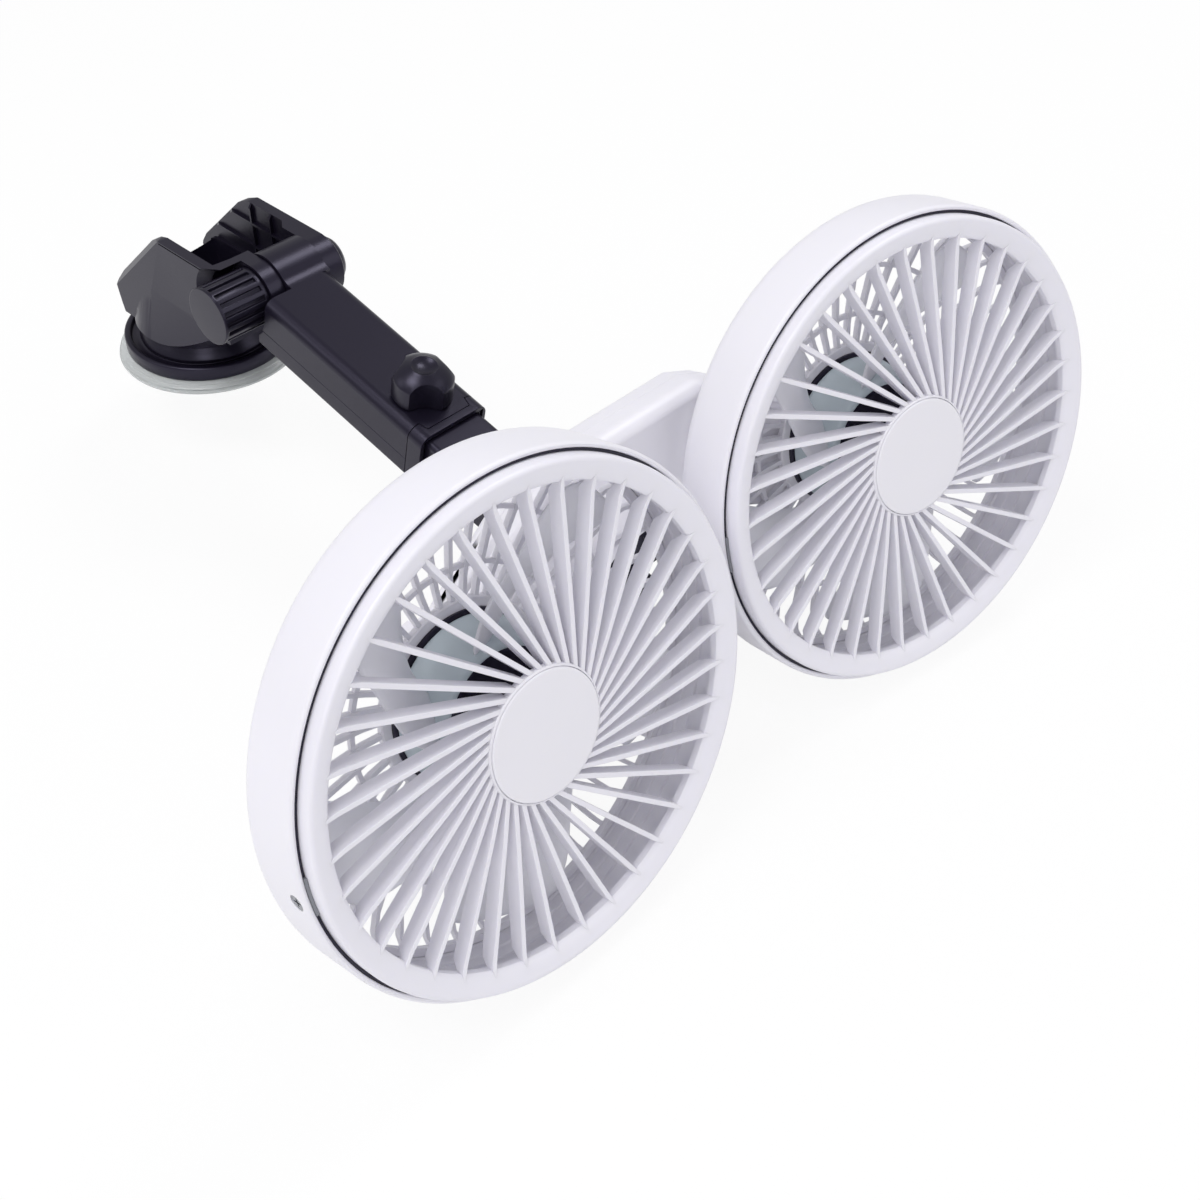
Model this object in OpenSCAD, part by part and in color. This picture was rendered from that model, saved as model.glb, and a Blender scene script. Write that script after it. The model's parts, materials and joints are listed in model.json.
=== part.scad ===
// Dual-head car fan on a suction mount, in millimetres.
// The origin is the middle of the suction cup's bottom face. +Z is up, both fans face -Y,
// and +X runs to the right along the hinge bolt for someone who stands in front of the fans.

/* [Suction base] */
// Radius of the gel suction cup
cup_r = 33.4; // [32.4:0.1:42]
// Thickness of the gel suction cup
cup_h = 3.5; // [3:0.1:6]
// Radius of the black base disc
plate_r = 30.3; // [28.5:0.1:31]
// Height of the black base disc
plate_h = 5.5; // [5.4:0.1:8]
// Radius of the neck ring under the turning housing
neck_r = 22.5; // [20.5:0.1:24]
// Height of the neck ring
neck_h = 5; // [4:0.1:7]
// Radius of the spigot that turns inside the neck ring
spigot_r = 17.9; // [15:0.1:18.5]
// Radius of the stem that pulls the cup's middle up
stem_r = 4.15; // [3:0.05:5]
// How far the stem rises in a quarter turn of the housing
stem_lift = 3; // [2:0.1:3]

/* [Turning housing] */
// Radius of the housing's bottom edge
body_r = 25.3; // [24.5:0.1:27]
// Half width of the housing over its two wings
wing_x = 21; // [20:0.1:22]
// Thickness of a wing
wing_t = 4; // [3:0.1:4.5]
// How far a wing reaches behind the cup's middle
wing_back = 22.2; // [21:0.1:24]
// Width of the flat bevel along a wing's rear edge
bevel_w = 2.3; // [1.5:0.1:4]
// Depth of the same bevel
bevel_d = 2; // [1:0.1:2.4]
// Hinge bolt's distance in front of the cup's middle
hinge_fwd = 47.4; // [46.5:0.1:50]
// Hinge bolt's height over the neck ring
hinge_up = 31.3; // [30.6:0.1:34]
// Radius of the round ends of the hinge cheeks
boss_r = 11; // [10.3:0.1:11.4]
// Distance of the knob-side cheek's inner face from the middle
near_in = 3.1; // [2:0.1:4]
// Thickness of the knob-side cheek
near_t = 5.6; // [4.5:0.1:6.5]

/* [Hinge] */
// Radius of the hinge bolt
bolt_r = 3; // [2.5:0.1:4]
// Radius of the fluted hinge knob
knob_r = 10; // [8.5:0.1:10.6]
// Length of the fluted hinge knob
knob_l = 18.7; // [16:0.1:24]
// Number of flutes on the hinge knob
knob_flutes = 18; // [10:1:22]
// Radius of the nut holder on the far cheek
nut_r = 10; // [8.6:0.1:10.6]
// Length of the nut holder
nut_l = 4; // [3.5:0.1:6]

/* [Arm] */
// Downward slope of the arm, in degrees
arm_angle = 12.8; // [0:0.1:20]
// Width of the arm
arm_w = 27.8; // [27.2:0.1:32]
// Height of the arm
arm_h = 20.8; // [20.4:0.1:23]
// How far the arm's top lies over the hinge bolt
arm_rise = 8.5; // [8:0.1:8.9]
// Length of the arm shells in front of the hinge bolt
arm_l = 83.1; // [81.1:0.5:93.1]
// Length of the end cap
cap_l = 6.3; // [4:0.1:10]
// Radius of the arm's upper long edges
arm_round = 4; // [2:0.1:4.4]
// Radius of the barrel on the hinge bolt
barrel_r = 12.04; // [11.6:0.02:12.3]
// Height of the joint line over the arm's underside
shell_split = 7.3; // [5:0.1:9]
// Half width of the slider
slider_x = 11.4; // [11:0.1:11.6]
// Height of the slider
slider_h = 16; // [15:0.1:16.1]
// Depth of the slider's top under the arm's top
slider_drop = 2.35; // [2.2:0.05:2.5]
// Front end of the slider, from the hinge bolt
slider_end = 170.1; // [168.6:0.5:181.1]
// Rear end of the slider, from the hinge bolt
slider_start = 54.1; // [53.1:0.5:63.1]
// Step down at the slider's front end
shelf_drop = 5; // [4:0.1:6]
// Clamp knob's distance behind the front end of the shells
clamp_back = 9.5; // [8:0.5:16]
// Radius over the clamp knob's lobes
clamp_r = 10; // [8.5:0.1:10.5]
// Height of the clamp knob
clamp_h = 12; // [9:0.1:15]

/* [Ball joint] */
// Ball's distance from the hinge bolt along the arm
ball_s = 160.1; // [159.1:0.5:161.1]
// Ball's height over the hinge bolt
ball_up = 16.7; // [16.3:0.1:18.5]
// Radius of the ball
ball_r = 8.5; // [8:0.1:8.8]
// Radius of the neck under the ball
ball_neck_r = 4; // [3:0.1:4.4]
// Radius of the ring nut
nut_ring_r = 13.8; // [13.2:0.1:14.2]
// How far the fans look up, in degrees
face_up = 13.7; // [5:0.1:16]

/* [Crossbar] */
// Distance from a drum's side to the middle between the two fans
head_gap = 7.7; // [7.3:0.1:18]
// Depth of the crossbar
bridge_d = 17; // [16.4:0.1:18.5]
// Height of the crossbar's top over the ball
bridge_top = 44.5; // [43:0.5:50]
// Wall of the crossbar's shells
bridge_wall = 2.2; // [1.8:0.1:2.6]
// Radius of the crossbar's rounded long edges
bridge_round = 4.5; // [2:0.1:5]
// Radius of the pivot pins
pin_r = 2.5; // [2:0.1:3]
// Distance from a fan's front seam back to its pivot
pivot_back = 38; // [37.8:0.1:41]
// Height of the swivel lugs
lug_h = 12; // [9:0.1:12.4]

/* [Fan heads] */
// Outer radius of the drum housings
drum_r = 73.3; // [64:0.1:84]
// Depth of the drum housings
drum_d = 19.4; // [18.5:0.1:20.4]
// Width of the drum's lip and the black seam round a front grille
lip_w = 2.5; // [2.4:0.05:2.9]
// Width of the front grille's ring
ring_w = 6.6; // [5.8:0.1:8.3]
// Radius of the grille's hub disc
hub_disc_r = 18.7; // [17:0.1:21]
// Number of swirl ribs in each front grille
rib_count = 38; // [24:1:40]
// Thickness of a swirl rib
rib_t = 1.4; // [1:0.1:1.6]
// Sideways offset of a swirl rib from the fan's axis
rib_offset = 11.2; // [6:0.1:13]
// Number of ribs in each rear grille
rear_ribs = 44; // [20:1:48]
// Depth of the rear grille's bowl behind the seam
bowl_back = 30; // [29.7:0.1:30.4]
// Radius of the rotor's hub at its rear edge
rotor_hub_r = 23; // [21.5:0.1:24]
// Gap between the blade tips and the drum's inner wall
tip_gap = 7; // [5:0.5:13]
// Number of blades on each rotor
blade_count = 5; // [3:1:6]
// Radius of the motors
motor_r = 12; // [10:0.1:13]
// Radius of the motor shafts
shaft_r = 1.6; // [1.2:0.1:2]

/* [Hidden] */
$fn = 72;
// clearance between separate mouldings, and radial clearance of running fits
gap = 0.3;
fit = 0.05;

// base and housing
foot_r = 13;
foot_h = 1.2;
plate_z = cup_h;
neck_z = plate_z + plate_h;
base_top = neck_z + neck_h;
housing_z = base_top + gap;
cone_h = 19;
floor_up = 6;
pocket_r = wing_x - 2.5;
wing_in = wing_x - wing_t;
near_out = near_in + near_t;
hinge_y = -hinge_fwd;
hinge_z = base_top + hinge_up;
wing_top = hinge_up + boss_r;
wing_low = hinge_up - 14.3;
wing_corner = [wing_back - 7.5, 20.6];
wing_bend = [-6, wing_top - 2.9];
bevel_a = atan2(wing_corner[0] - wing_bend[0], wing_bend[1] - wing_corner[1]);
front_r = hinge_fwd + 0.6;
recess_r = boss_r + 1;
far = 200;
cross_pin_r = 1.6;
cross_pin_z = base_top + floor_up + cross_pin_r + gap;

// arm
arm_x = arm_w / 2;
arm_top = arm_rise;
arm_bottom = arm_top - arm_h;
split_h = arm_bottom + shell_split;
far_in = arm_x + gap;
arm_clear_r = boss_r + 1.1;
arm_heel = boss_r - 1.9;
blend_r = 8.1;
blend_s = sqrt(pow(barrel_r + blend_r, 2) - pow(arm_top + blend_r, 2));
blend_k = barrel_r / (barrel_r + blend_r);
slider_top = arm_top - slider_drop;
slider_bottom = slider_top - slider_h;
shelf_top = slider_top - shelf_drop;
slider_wall = 1.8;
channel_x = slider_x + gap;
channel_top = slider_top + gap;
channel_bottom = slider_bottom - gap;
channel_start = slider_start - 30;
cap_end = arm_l + cap_l;
clamp_s = arm_l - clamp_back;
shelf_s = ball_s - 19;
tongue_l = 3.4;
clamp_screw_r = 2;

// ball joint and crossbar, in the crossbar's own axes at the ball
pivot_x = drum_r + head_gap;
pivot_y = -14.7;
pivot_z = 5.9;
boss_top = 9.3;
socket_r = nut_ring_r - 2.6;
socket_top = 22;
pod_r = socket_r + 2.3;
pod_top = socket_top + 4;
split_y = -8;
fork_r = 7;
slot_h = lug_h + 2 * gap;
slot_low = pivot_z - slot_h / 2;
slot_high = pivot_z + slot_h / 2;
end_x = pivot_x + fork_r;
fork_top = 18;
fork_low = -12;
button_r = 6;
button_z = pod_top + button_r + 1.3 + gap;
board_w = 48;
board_t = 1.6;
board_y = -6;
board_z = [pod_top + 1.2, pod_top + 14];
inlet_x = 27;
inlet_z = 21;
inlet_w = 12;
inlet_h = 8;

// heads, with z forward of the front seam
grille_r = drum_r - lip_w;
opening_r = grille_r - ring_w;
hub_cap_r = hub_disc_r - 0.8;
hub_cap_h = 1.4;
hub_top = 3.6;
grille_shelf = -5.3;
ring_shelf = -2.5;
drum_in = grille_r - 1.8;
skirt_in = grille_r - 2.6;
blade_r = drum_in - tip_gap;
blade_x = 17.5;
rear_ring_r = drum_r - 5;
back_plate_r = rotor_hub_r + 4;
bowl_mid = rear_ring_r - 21.3;
bowl_out = rear_ring_r - 8.3;
plate_face = -bowl_back + 2.4;
rotor_back = plate_face + 1.1;
rotor_front = -12;
screw_angle = 182;
screw_f = -4.1;
latch_from = 175.6;
latch_to = 184.6;

left_swivel = 0;
right_swivel = -9;

// house colours
black = "#26272b";
white = "#ecebf1";
grey = "#8d9097";
steel = "#b9bcc2";

// points along an arc
function arc(cx, cy, r, a, b, n) =
  [for (i = [0 : n]) [cx + r * cos(a + (b - a) * i / n), cy + r * sin(a + (b - a) * i / n)]];

// a ring sector between two angles, as a flat shape
module sector(r1, r2, a, b, n = 8) {
  polygon(concat(arc(0, 0, r2, a, b, n), arc(0, 0, r1, b, a, n)));
}

// places: the hinge, a station along the arm, the ball, and a head's seam plane
module at_arm() translate([0, hinge_y, hinge_z]) rotate([arm_angle, 0, 0]) children();
module along_arm(s) at_arm() translate([0, -s, 0]) rotate([90, 0, 0]) children();
module at_ball() at_arm() translate([0, -ball_s, ball_up])
  rotate([-(arm_angle + face_up), 0, 0]) children();
module at_head(side) at_ball() translate([side * pivot_x, pivot_y, pivot_z])
  rotate([0, 0, side < 0 ? left_swivel : right_swivel])
    translate([0, -pivot_back, 0]) rotate([90, 0, 0]) children();

// extrudes a flat (y, z) outline across the part, to half width w
module across(w) rotate([90, 0, 90]) translate([0, 0, -w]) linear_extrude(2 * w) children();

// the same between two places across the part
module between(x0, x1) rotate([90, 0, 90]) translate([0, 0, x0]) linear_extrude(x1 - x0) children();

// suction base

module suction_cup() color("#c4ccca") {
  rotate_extrude($fn = 96) polygon([[0, 0], [cup_r - 0.6, 0], [cup_r, 0.6], [cup_r, 1.3],
    [cup_r - 0.9, 1.5], [cup_r - 0.9, 1.8], [cup_r - 0.6, 2], [cup_r - 2.4, cup_h], [0, cup_h]]);
  translate([0, -cup_r - 3, 0]) cylinder(r = 6, h = 1.3);
  translate([-6, -cup_r - 3, 0]) cube([12, 6, 1.3]);
}

module base_plate() color(black) difference() {
  rotate_extrude($fn = 96) polygon([[0, plate_z], [plate_r - 0.8, plate_z],
    [plate_r, plate_z + 0.8], [plate_r, neck_z - 1.8], [plate_r - 0.5, neck_z - 0.8],
    [plate_r - 1.8, neck_z], [neck_r + 2.6, neck_z], [neck_r + 2.2, neck_z - 0.9],
    [neck_r + 0.4, neck_z - 0.9], [neck_r, base_top], [0, base_top]]);
  translate([0, 0, neck_z]) cylinder(r = spigot_r + fit, h = neck_h + 1);
  translate([0, 0, plate_z - 1]) cylinder(r = stem_r + 0.06, h = plate_h + 2);
  translate([0, 0, plate_z - 1]) cylinder(r = foot_r + gap, h = 1 + foot_h + stem_lift + gap);
}

// foot, rod and cross pin of the stem; the pin rides on the ramps in the housing
module suction_stem() color(steel) {
  translate([0, 0, plate_z]) cylinder(r = foot_r, h = foot_h);
  translate([0, 0, plate_z]) cylinder(r = stem_r, h = cross_pin_z + 3 - plate_z);
  translate([0, 0, cross_pin_z]) rotate([0, 90, 0])
    cylinder(r = cross_pin_r, h = 24, center = true, $fn = 32);
}

// housing outline seen from the side, as (y, height over the neck ring)
module wing_outline() {
  polygon([[wing_back - 2.2, gap], [wing_back - 1.2, 4.3], [wing_back, 11.6],
    [wing_back - 0.5, 12.9], [wing_back - 3.7, 17.2], wing_corner, wing_bend,
    [-9, wing_top - 1.1], [-13, wing_top], [hinge_y, wing_top], [hinge_y, hinge_up - boss_r],
    [hinge_y + 0.5, wing_low], [-30, wing_low], [-14, gap]]);
  translate([hinge_y, hinge_up]) circle(r = boss_r);
}

// side wall on the knob's side, seen from above: it turns inwards to the hinge cheek
module near_plan() polygon([[-wing_x, far], [-wing_x, hinge_y + 8.5],
  [-wing_x + 0.6, hinge_y + 7.4], [-wing_x + 3, hinge_y + 5.4], [-near_out, hinge_y + 4.1],
  [-near_out, -far], [-near_in, -far], [-near_in, hinge_y + 7.4], [-wing_in, hinge_y + 9.1],
  [-wing_in, far]]);

// side wall on the other side, which runs straight on into its thicker cheek
module far_plan() polygon([[wing_x, far], [wing_x, -far], [far_in, -far],
  [far_in, hinge_y + 12], [wing_in, hinge_y + 16], [wing_in, far]]);

module wing_walls() {
  difference() {
    intersection() {
      translate([0, 0, base_top]) linear_extrude(far) {
        near_plan();
        far_plan();
      }
      translate([0, 0, base_top]) across(30) wing_outline();
    }
    // flat bevel along the rear edge of each wing
    for (s = [0, 1]) mirror([s, 0, 0])
      translate([0, wing_corner[0], base_top + wing_corner[1]]) rotate([bevel_a, 0, 0])
        linear_extrude(90, center = true) polygon([[wing_x, -bevel_w], [wing_x + 2, -bevel_w],
          [wing_x + 2, 2], [wing_x - bevel_d * (bevel_w + 2) / bevel_w, 2]]);
    // joint line along each wing's top edge
    for (s = [-1, 1]) translate([s * wing_x - 0.4, hinge_y + 7.4, base_top + wing_top - 0.9])
      cube([0.8, 27, 0.5]);
  }
  // crossed stiffening ribs on the wings' inner faces
  intersection() {
    union() for (s = [-1, 1]) {
      for (z = [24.9, 34.1]) translate([s * (wing_in - 0.5) - 0.7, hinge_y + 11, base_top + z])
        cube([1.4, 50, 0.9]);
      for (y = [-25.7, -14.6]) translate([s * (wing_in - 0.5) - 0.7, y, base_top + 5])
        cube([1.4, 0.9, 45]);
    }
    translate([0, 0, base_top]) across(30) wing_outline();
  }
  // round wall behind the knob, and the ledge under it
  translate([0, hinge_y, hinge_z]) between(-wing_in - 1, -near_in)
    intersection() {
      circle(r = recess_r + 1.8, $fn = 96);
      translate([0, -far]) square([far, far + boss_r]);
    }
  translate([-wing_x, hinge_y, base_top + wing_low]) cube([wing_x - near_in, 12, 3.5]);
}

// lower body: a cone behind, and a forward flare that narrows towards the wings
module lower_body() {
  difference() {
    translate([0, 0, housing_z])
      cylinder(r1 = body_r, r2 = wing_x - 1, h = cone_h - gap, $fn = 96);
    translate([0, 0, base_top]) across(wing_in)
      polygon([[40, -6.8], [11.7, 18.3], [11.7, 40], [40, 40]]);
  }
  intersection() {
    translate([0, 0, housing_z])
      cylinder(r1 = body_r, r2 = front_r, h = cone_h - gap, $fn = 96);
    translate([0, -2, base_top]) rotate([90, 0, 0]) linear_extrude(far)
      polygon([[-body_r, 0], [body_r, 0], [wing_x, cone_h], [-wing_x, cone_h]]);
  }
}

// the room between the two side walls, with a sloping floor in front
module pocket() {
  intersection() {
    translate([0, 0, base_top]) linear_extrude(far) {
      intersection() {
        circle(r = pocket_r, $fn = 96);
        translate([-wing_in, -2]) square([2 * wing_in, 40]);
      }
      translate([-wing_in, -far]) square([2 * wing_in, far]);
    }
    translate([0, 0, base_top]) across(wing_in - 1.2) polygon([[40, floor_up],
      [-27.9, floor_up], [hinge_y + 5.9, hinge_up - 14], [hinge_y + 5.9, far], [40, far]]);
    translate([0, 0, base_top])
      cylinder(r1 = body_r - 3, r2 = 4 * front_r - 3 * body_r - 3, h = 4 * cone_h, $fn = 96);
  }
  translate([0, 0, base_top]) across(wing_in - 1.2)
    polygon([[-far, hinge_up - 14], [hinge_y + 10, hinge_up - 14], [hinge_y + 10, far],
      [-far, far]]);
}

// stepped ramps that lift the stem's cross pin as the housing turns a quarter turn
module lift_ramps() {
  for (k = [0, 180]) rotate([0, 0, k]) for (i = [0 : 6])
    translate([0, 0, base_top + floor_up - 0.2])
      linear_extrude(0.2 + stem_lift * (6 + 13 * i) / 90)
        sector(7, 12, -104, -20 - 13 * i);
}

module swivel_housing() color(black) difference() {
  union() {
    wing_walls();
    difference() {
      lower_body();
      pocket();
    }
    translate([0, 0, neck_z + 0.4]) cylinder(r = spigot_r, h = neck_h + 1);
    lift_ramps();
  }
  translate([0, 0, neck_z]) cylinder(r = stem_r + 0.45, h = 30);
  translate([0, hinge_y, hinge_z]) rotate([0, 90, 0])
    cylinder(r = bolt_r + fit, h = 60, center = true);
  // round recess for the knob, which flares out at the wing's face
  translate([0, hinge_y, hinge_z]) between(-wing_x - 5, -near_out) circle(r = recess_r, $fn = 96);
  intersection() {
    translate([-wing_in, hinge_y, hinge_z]) rotate([0, -90, 0])
      cylinder(r1 = recess_r, r2 = recess_r + 3.75, h = 5, $fn = 96);
    translate([-far, -far, hinge_z - recess_r]) cube([far, far, far]);
  }
}

// hinge

module hinge_knob() color(black) translate([-near_out - gap, hinge_y, hinge_z])
  rotate([0, -90, 0]) difference() {
    rotate_extrude() polygon([[bolt_r + 0.03, 0], [knob_r - 0.5, 0], [knob_r, 0.6],
      [knob_r, knob_l - 0.9], [knob_r - 0.4, knob_l - 0.2], [knob_r - 1, knob_l],
      [0, knob_l], [0, knob_l - 4], [bolt_r + 0.03, knob_l - 4]]);
    for (i = [0 : knob_flutes - 1]) rotate([0, 0, 360 * i / knob_flutes])
      translate([knob_r + 0.25, 0, 1.4]) cylinder(r = 0.95, h = knob_l - 3.2, $fn = 16);
  }

module hinge_bolt() color(steel)
  translate([-near_out - knob_l + 4, hinge_y, hinge_z]) rotate([0, 90, 0])
    cylinder(r = bolt_r, h = near_out + knob_l - 4 + wing_x + nut_l - 0.5, $fn = 48);

module hinge_nut() color(black) translate([wing_x + 0.05, hinge_y, hinge_z])
  rotate([0, 90, 0]) rotate_extrude() polygon([[bolt_r + fit, 0], [nut_r, 0], [nut_r, 0.8],
    [nut_r - 0.6, 1.3], [nut_r - 1.5, 1.5], [nut_r - 2, nut_l - 1.2], [nut_r - 3, nut_l],
    [bolt_r + fit, nut_l]]);

// arm

module arm_section() polygon(concat(
  arc(arm_x - arm_round, arm_top - arm_round, arm_round, 0, 90, 8),
  arc(-arm_x + arm_round, arm_top - arm_round, arm_round, 90, 180, 8),
  arc(-arm_x + 1.2, arm_bottom + 1.2, 1.2, 180, 270, 3),
  arc(arm_x - 1.2, arm_bottom + 1.2, 1.2, 270, 360, 3)));

module channel_section() polygon(concat(
  arc(channel_x - 2.3, channel_top - 2.3, 2.3, 0, 90, 4),
  arc(-channel_x + 2.3, channel_top - 2.3, 2.3, 90, 180, 4),
  [[-channel_x, channel_bottom], [channel_x, channel_bottom]]));

// arm without its cap: its heel stands round the near cheek, and its other half runs
// back into the barrel
module arm_body() difference() {
  union() {
    along_arm(0) linear_extrude(arm_l) arm_section();
    at_arm() between(-near_in + gap, arm_x) circle(r = barrel_r, $fn = 96);
  }
  at_arm() between(-arm_x - 1, -near_in + gap) {
    circle(r = arm_clear_r, $fn = 96);
    translate([-arm_clear_r, 0]) square([far, far]);
    translate([-arm_heel, -far]) square([far, far]);
  }
  along_arm(channel_start) linear_extrude(arm_l) channel_section();
}

module tongue(extra) translate([0, 0, arm_top - 1.9]) linear_extrude(6)
  polygon([[-9.6 - extra, -arm_l + 0.1], [-8.6 - extra, -arm_l - tongue_l - extra],
    [8.6 + extra, -arm_l - tongue_l - extra], [9.6 + extra, -arm_l + 0.1]]);

module arm_upper_shell() color(black) difference() {
  union() {
    difference() {
      arm_body();
      at_arm() translate([-arm_w, -far - 7.7, split_h - far]) cube([2 * arm_w, far, far]);
    }
    at_arm() intersection() {
      tongue(0);
      translate([-arm_w, -far, arm_top - far]) cube([2 * arm_w, far, far]);
    }
    at_arm() between(-near_in + gap, arm_x) {
      circle(r = barrel_r, $fn = 96);
      // soft blend from the barrel to the arm's flat top
      difference() {
        polygon([[-blend_s, arm_top - 1], [-blend_s, arm_top],
          [-blend_s * blend_k, (arm_top + blend_r) * blend_k], [-5, arm_top - 1]]);
        translate([-blend_s, arm_top + blend_r]) circle(r = blend_r, $fn = 96);
      }
    }
  }
  at_arm() rotate([0, 90, 0]) cylinder(r = bolt_r + fit, h = 60, center = true);
  at_arm() translate([0, -clamp_s, arm_top - 10]) cylinder(r = clamp_screw_r + fit, h = 20);
}

module arm_lower_shell() color(black) difference() {
  intersection() {
    arm_body();
    at_arm() translate([-arm_w, -far - 8, split_h - far - gap / 2]) cube([2 * arm_w, far, far]);
  }
  at_arm() across(arm_w) circle(r = barrel_r + gap, $fn = 96);
}

module arm_end_cap() color(black) difference() {
  along_arm(arm_l + 0.15) linear_extrude(cap_l - 0.15) arm_section();
  along_arm(arm_l - 1) linear_extrude(cap_l + 2) channel_section();
  at_arm() tongue(0.15);
  // shallow recess round the mouth
  along_arm(cap_end - 0.8) linear_extrude(2) translate([-channel_x - 0.7, channel_bottom - 0.5])
    square([2 * channel_x + 1.4, channel_top - channel_bottom + 0.8]);
}

module slider_section(top, x, low, r) polygon(concat(
  arc(x - r, top - r, r, 0, 90, 4), arc(-x + r, top - r, r, 90, 180, 4), [[-x, low], [x, low]]));

module arm_slider() color(black) difference() {
  union() {
    along_arm(slider_start) linear_extrude(shelf_s - slider_start)
      slider_section(slider_top, slider_x, slider_bottom, 2);
    along_arm(shelf_s - 1) linear_extrude(slider_end - shelf_s + 1)
      slider_section(shelf_top, slider_x, slider_bottom, 1.6);
    // sloping step between the two levels
    at_arm() across(slider_x - 2) polygon([[-shelf_s + 1, slider_top], [-shelf_s, slider_top],
      [-shelf_s - 4, shelf_top], [-shelf_s + 1, shelf_top]]);
  }
  along_arm(slider_start - 1) linear_extrude(shelf_s - slider_start - slider_wall + 1)
    slider_section(slider_top - slider_wall, slider_x - slider_wall,
      slider_bottom + slider_wall, 1);
  along_arm(shelf_s - 5) linear_extrude(slider_end - shelf_s + 5 - slider_wall)
    slider_section(shelf_top - slider_wall, slider_x - slider_wall,
      slider_bottom + slider_wall, 0.8);
}

module clamp_knob() color(black) at_arm() translate([0, -clamp_s, arm_top]) difference() {
  rotate_extrude() polygon([[clamp_screw_r + 0.03, gap], [clamp_r, gap],
    [clamp_r, 0.42 * clamp_h], [clamp_r - 0.2, 0.45 * clamp_h],
    [clamp_r - 0.9, 0.62 * clamp_h], [clamp_r - 2.4, 0.82 * clamp_h],
    [clamp_r - 4.7, 0.965 * clamp_h], [clamp_r - 5.4, clamp_h], [clamp_r - 5.9, clamp_h - 0.3],
    [clamp_r - 7, clamp_h - 0.8], [0, clamp_h - 1.1], [0, 0.6 * clamp_h],
    [clamp_screw_r + 0.03, 0.6 * clamp_h]]);
  for (i = [0 : 4]) rotate([0, 0, 15 + 72 * i])
    translate([clamp_r + 6.6, 0, -1]) cylinder(r = 9, h = clamp_h + 2);
}

module clamp_screw() color(steel) at_arm() translate([0, -clamp_s, slider_top + 0.05])
  cylinder(r = clamp_screw_r, h = slider_drop - 0.05 + 0.6 * clamp_h - 0.1, $fn = 32);

// ball joint

module ball_stud() color(black) at_arm() translate([0, -ball_s, 0]) {
  translate([0, 0, shelf_top]) cylinder(r = 7, h = 2);
  translate([0, 0, shelf_top]) cylinder(r = ball_neck_r, h = ball_up - shelf_top);
  translate([0, 0, ball_up]) sphere(r = ball_r);
}

module ball_nut() color(black) at_ball() difference() {
  translate([0, 0, -3]) cylinder(r = nut_ring_r, h = boss_top - gap + 3);
  sphere(r = ball_r + 0.1);
  translate([0, 0, 0.6]) cylinder(r = socket_r + 0.06, h = 20);
  for (i = [0 : 11]) rotate([0, 0, 30 * i])
    translate([nut_ring_r + 1, 0, -2]) cylinder(r = 1.8, h = boss_top - 0.5, $fn = 24);
}

module ball_socket() color(black) at_ball() difference() {
  translate([0, 0, 1.2]) cylinder(r = socket_r, h = socket_top - 1.2);
  sphere(r = ball_r + 0.1);
  translate([-0.6, -20, -1]) cube([1.2, 40, 9]);
  translate([-20, -0.6, -1]) cube([40, 1.2, 9]);
}

// crossbar: its outline seen from the front, as (x, height over the ball)
bridge_upper = [[0, bridge_top], [27, bridge_top], [36, bridge_top - 3.5],
  [pivot_x - 11, fork_top + 2], [pivot_x - 5, fork_top], [end_x, fork_top]];
bridge_lower = [[0, 11], [14, 10], [33, 0], [58, fork_low], [end_x, fork_low]];
inner_upper = [[0, bridge_top - bridge_wall], [26.6, bridge_top - bridge_wall],
  [35, bridge_top - 3.3 - bridge_wall], [pivot_x - 13, fork_top + 3 - bridge_wall]];
inner_lower = [[0, 11 + bridge_wall], [14.4, 10.2 + bridge_wall], [33.6, 0.6 + bridge_wall],
  [58.4, fork_low + bridge_wall], [pivot_x - 13, fork_low + bridge_wall]];

function flip(list) = [for (i = [len(list) - 1 : -1 : 0]) list[i]];
function other_side(list) = [for (p = list) [-p[0], p[1]]];

module mirrored(upper, lower) polygon(concat(upper, flip(lower), other_side(lower),
  flip(other_side(upper))));

// crossbar seen from above, as (x, depth)
module bridge_plan() {
  for (s = [0, 1]) mirror([s, 0]) {
    translate([pivot_x, pivot_y]) circle(r = fork_r);
    polygon([[-1, -bridge_d], [pivot_x - 10, -bridge_d], [pivot_x - 6, pivot_y - 4],
      [pivot_x, pivot_y], [end_x, pivot_y], [end_x - 0.6, -7], [end_x - 3, -3],
      [end_x - 8, -0.8], [end_x - 13, 0], [-1, 0]]);
  }
}

// rounds a long edge between two outline points on the face at depth y
module edge_round(p, q, y, inward, up) {
  l = norm(q - p);
  a = atan2(q[1] - p[1], q[0] - p[0]);
  r = bridge_round;
  translate([p[0], y, p[1]]) rotate([0, -a, 0]) translate([-0.6, 0, 0]) rotate([0, 90, 0])
    linear_extrude(l + 1.2) difference() {
      translate([up > 0 ? -3 : -r, inward > 0 ? -3 : -r]) square([r + 3, r + 3]);
      translate([up > 0 ? r : -r, inward > 0 ? r : -r]) circle(r = r, $fn = 48);
    }
}

module bridge_solid() difference() {
  intersection() {
    translate([0, 0, -20]) linear_extrude(90) bridge_plan();
    translate([0, 20, 0]) rotate([90, 0, 0]) linear_extrude(60)
      mirrored(bridge_upper, bridge_lower);
  }
  for (s = [0, 1]) mirror([s, 0, 0]) {
    for (i = [0 : 3]) {
      edge_round(bridge_upper[i], bridge_upper[i + 1], -bridge_d, 1, 1);
      edge_round(bridge_upper[i], bridge_upper[i + 1], 0, -1, 1);
    }
    // slot of the fork that holds a fan's lug
    translate([pivot_x - 9.5, -30, slot_low]) cube([30, 40, slot_h]);
    translate([pivot_x, pivot_y, fork_low - 1])
      cylinder(r = pin_r + 0.02, h = fork_top - fork_low - 0.6, $fn = 48);
  }
}

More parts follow.
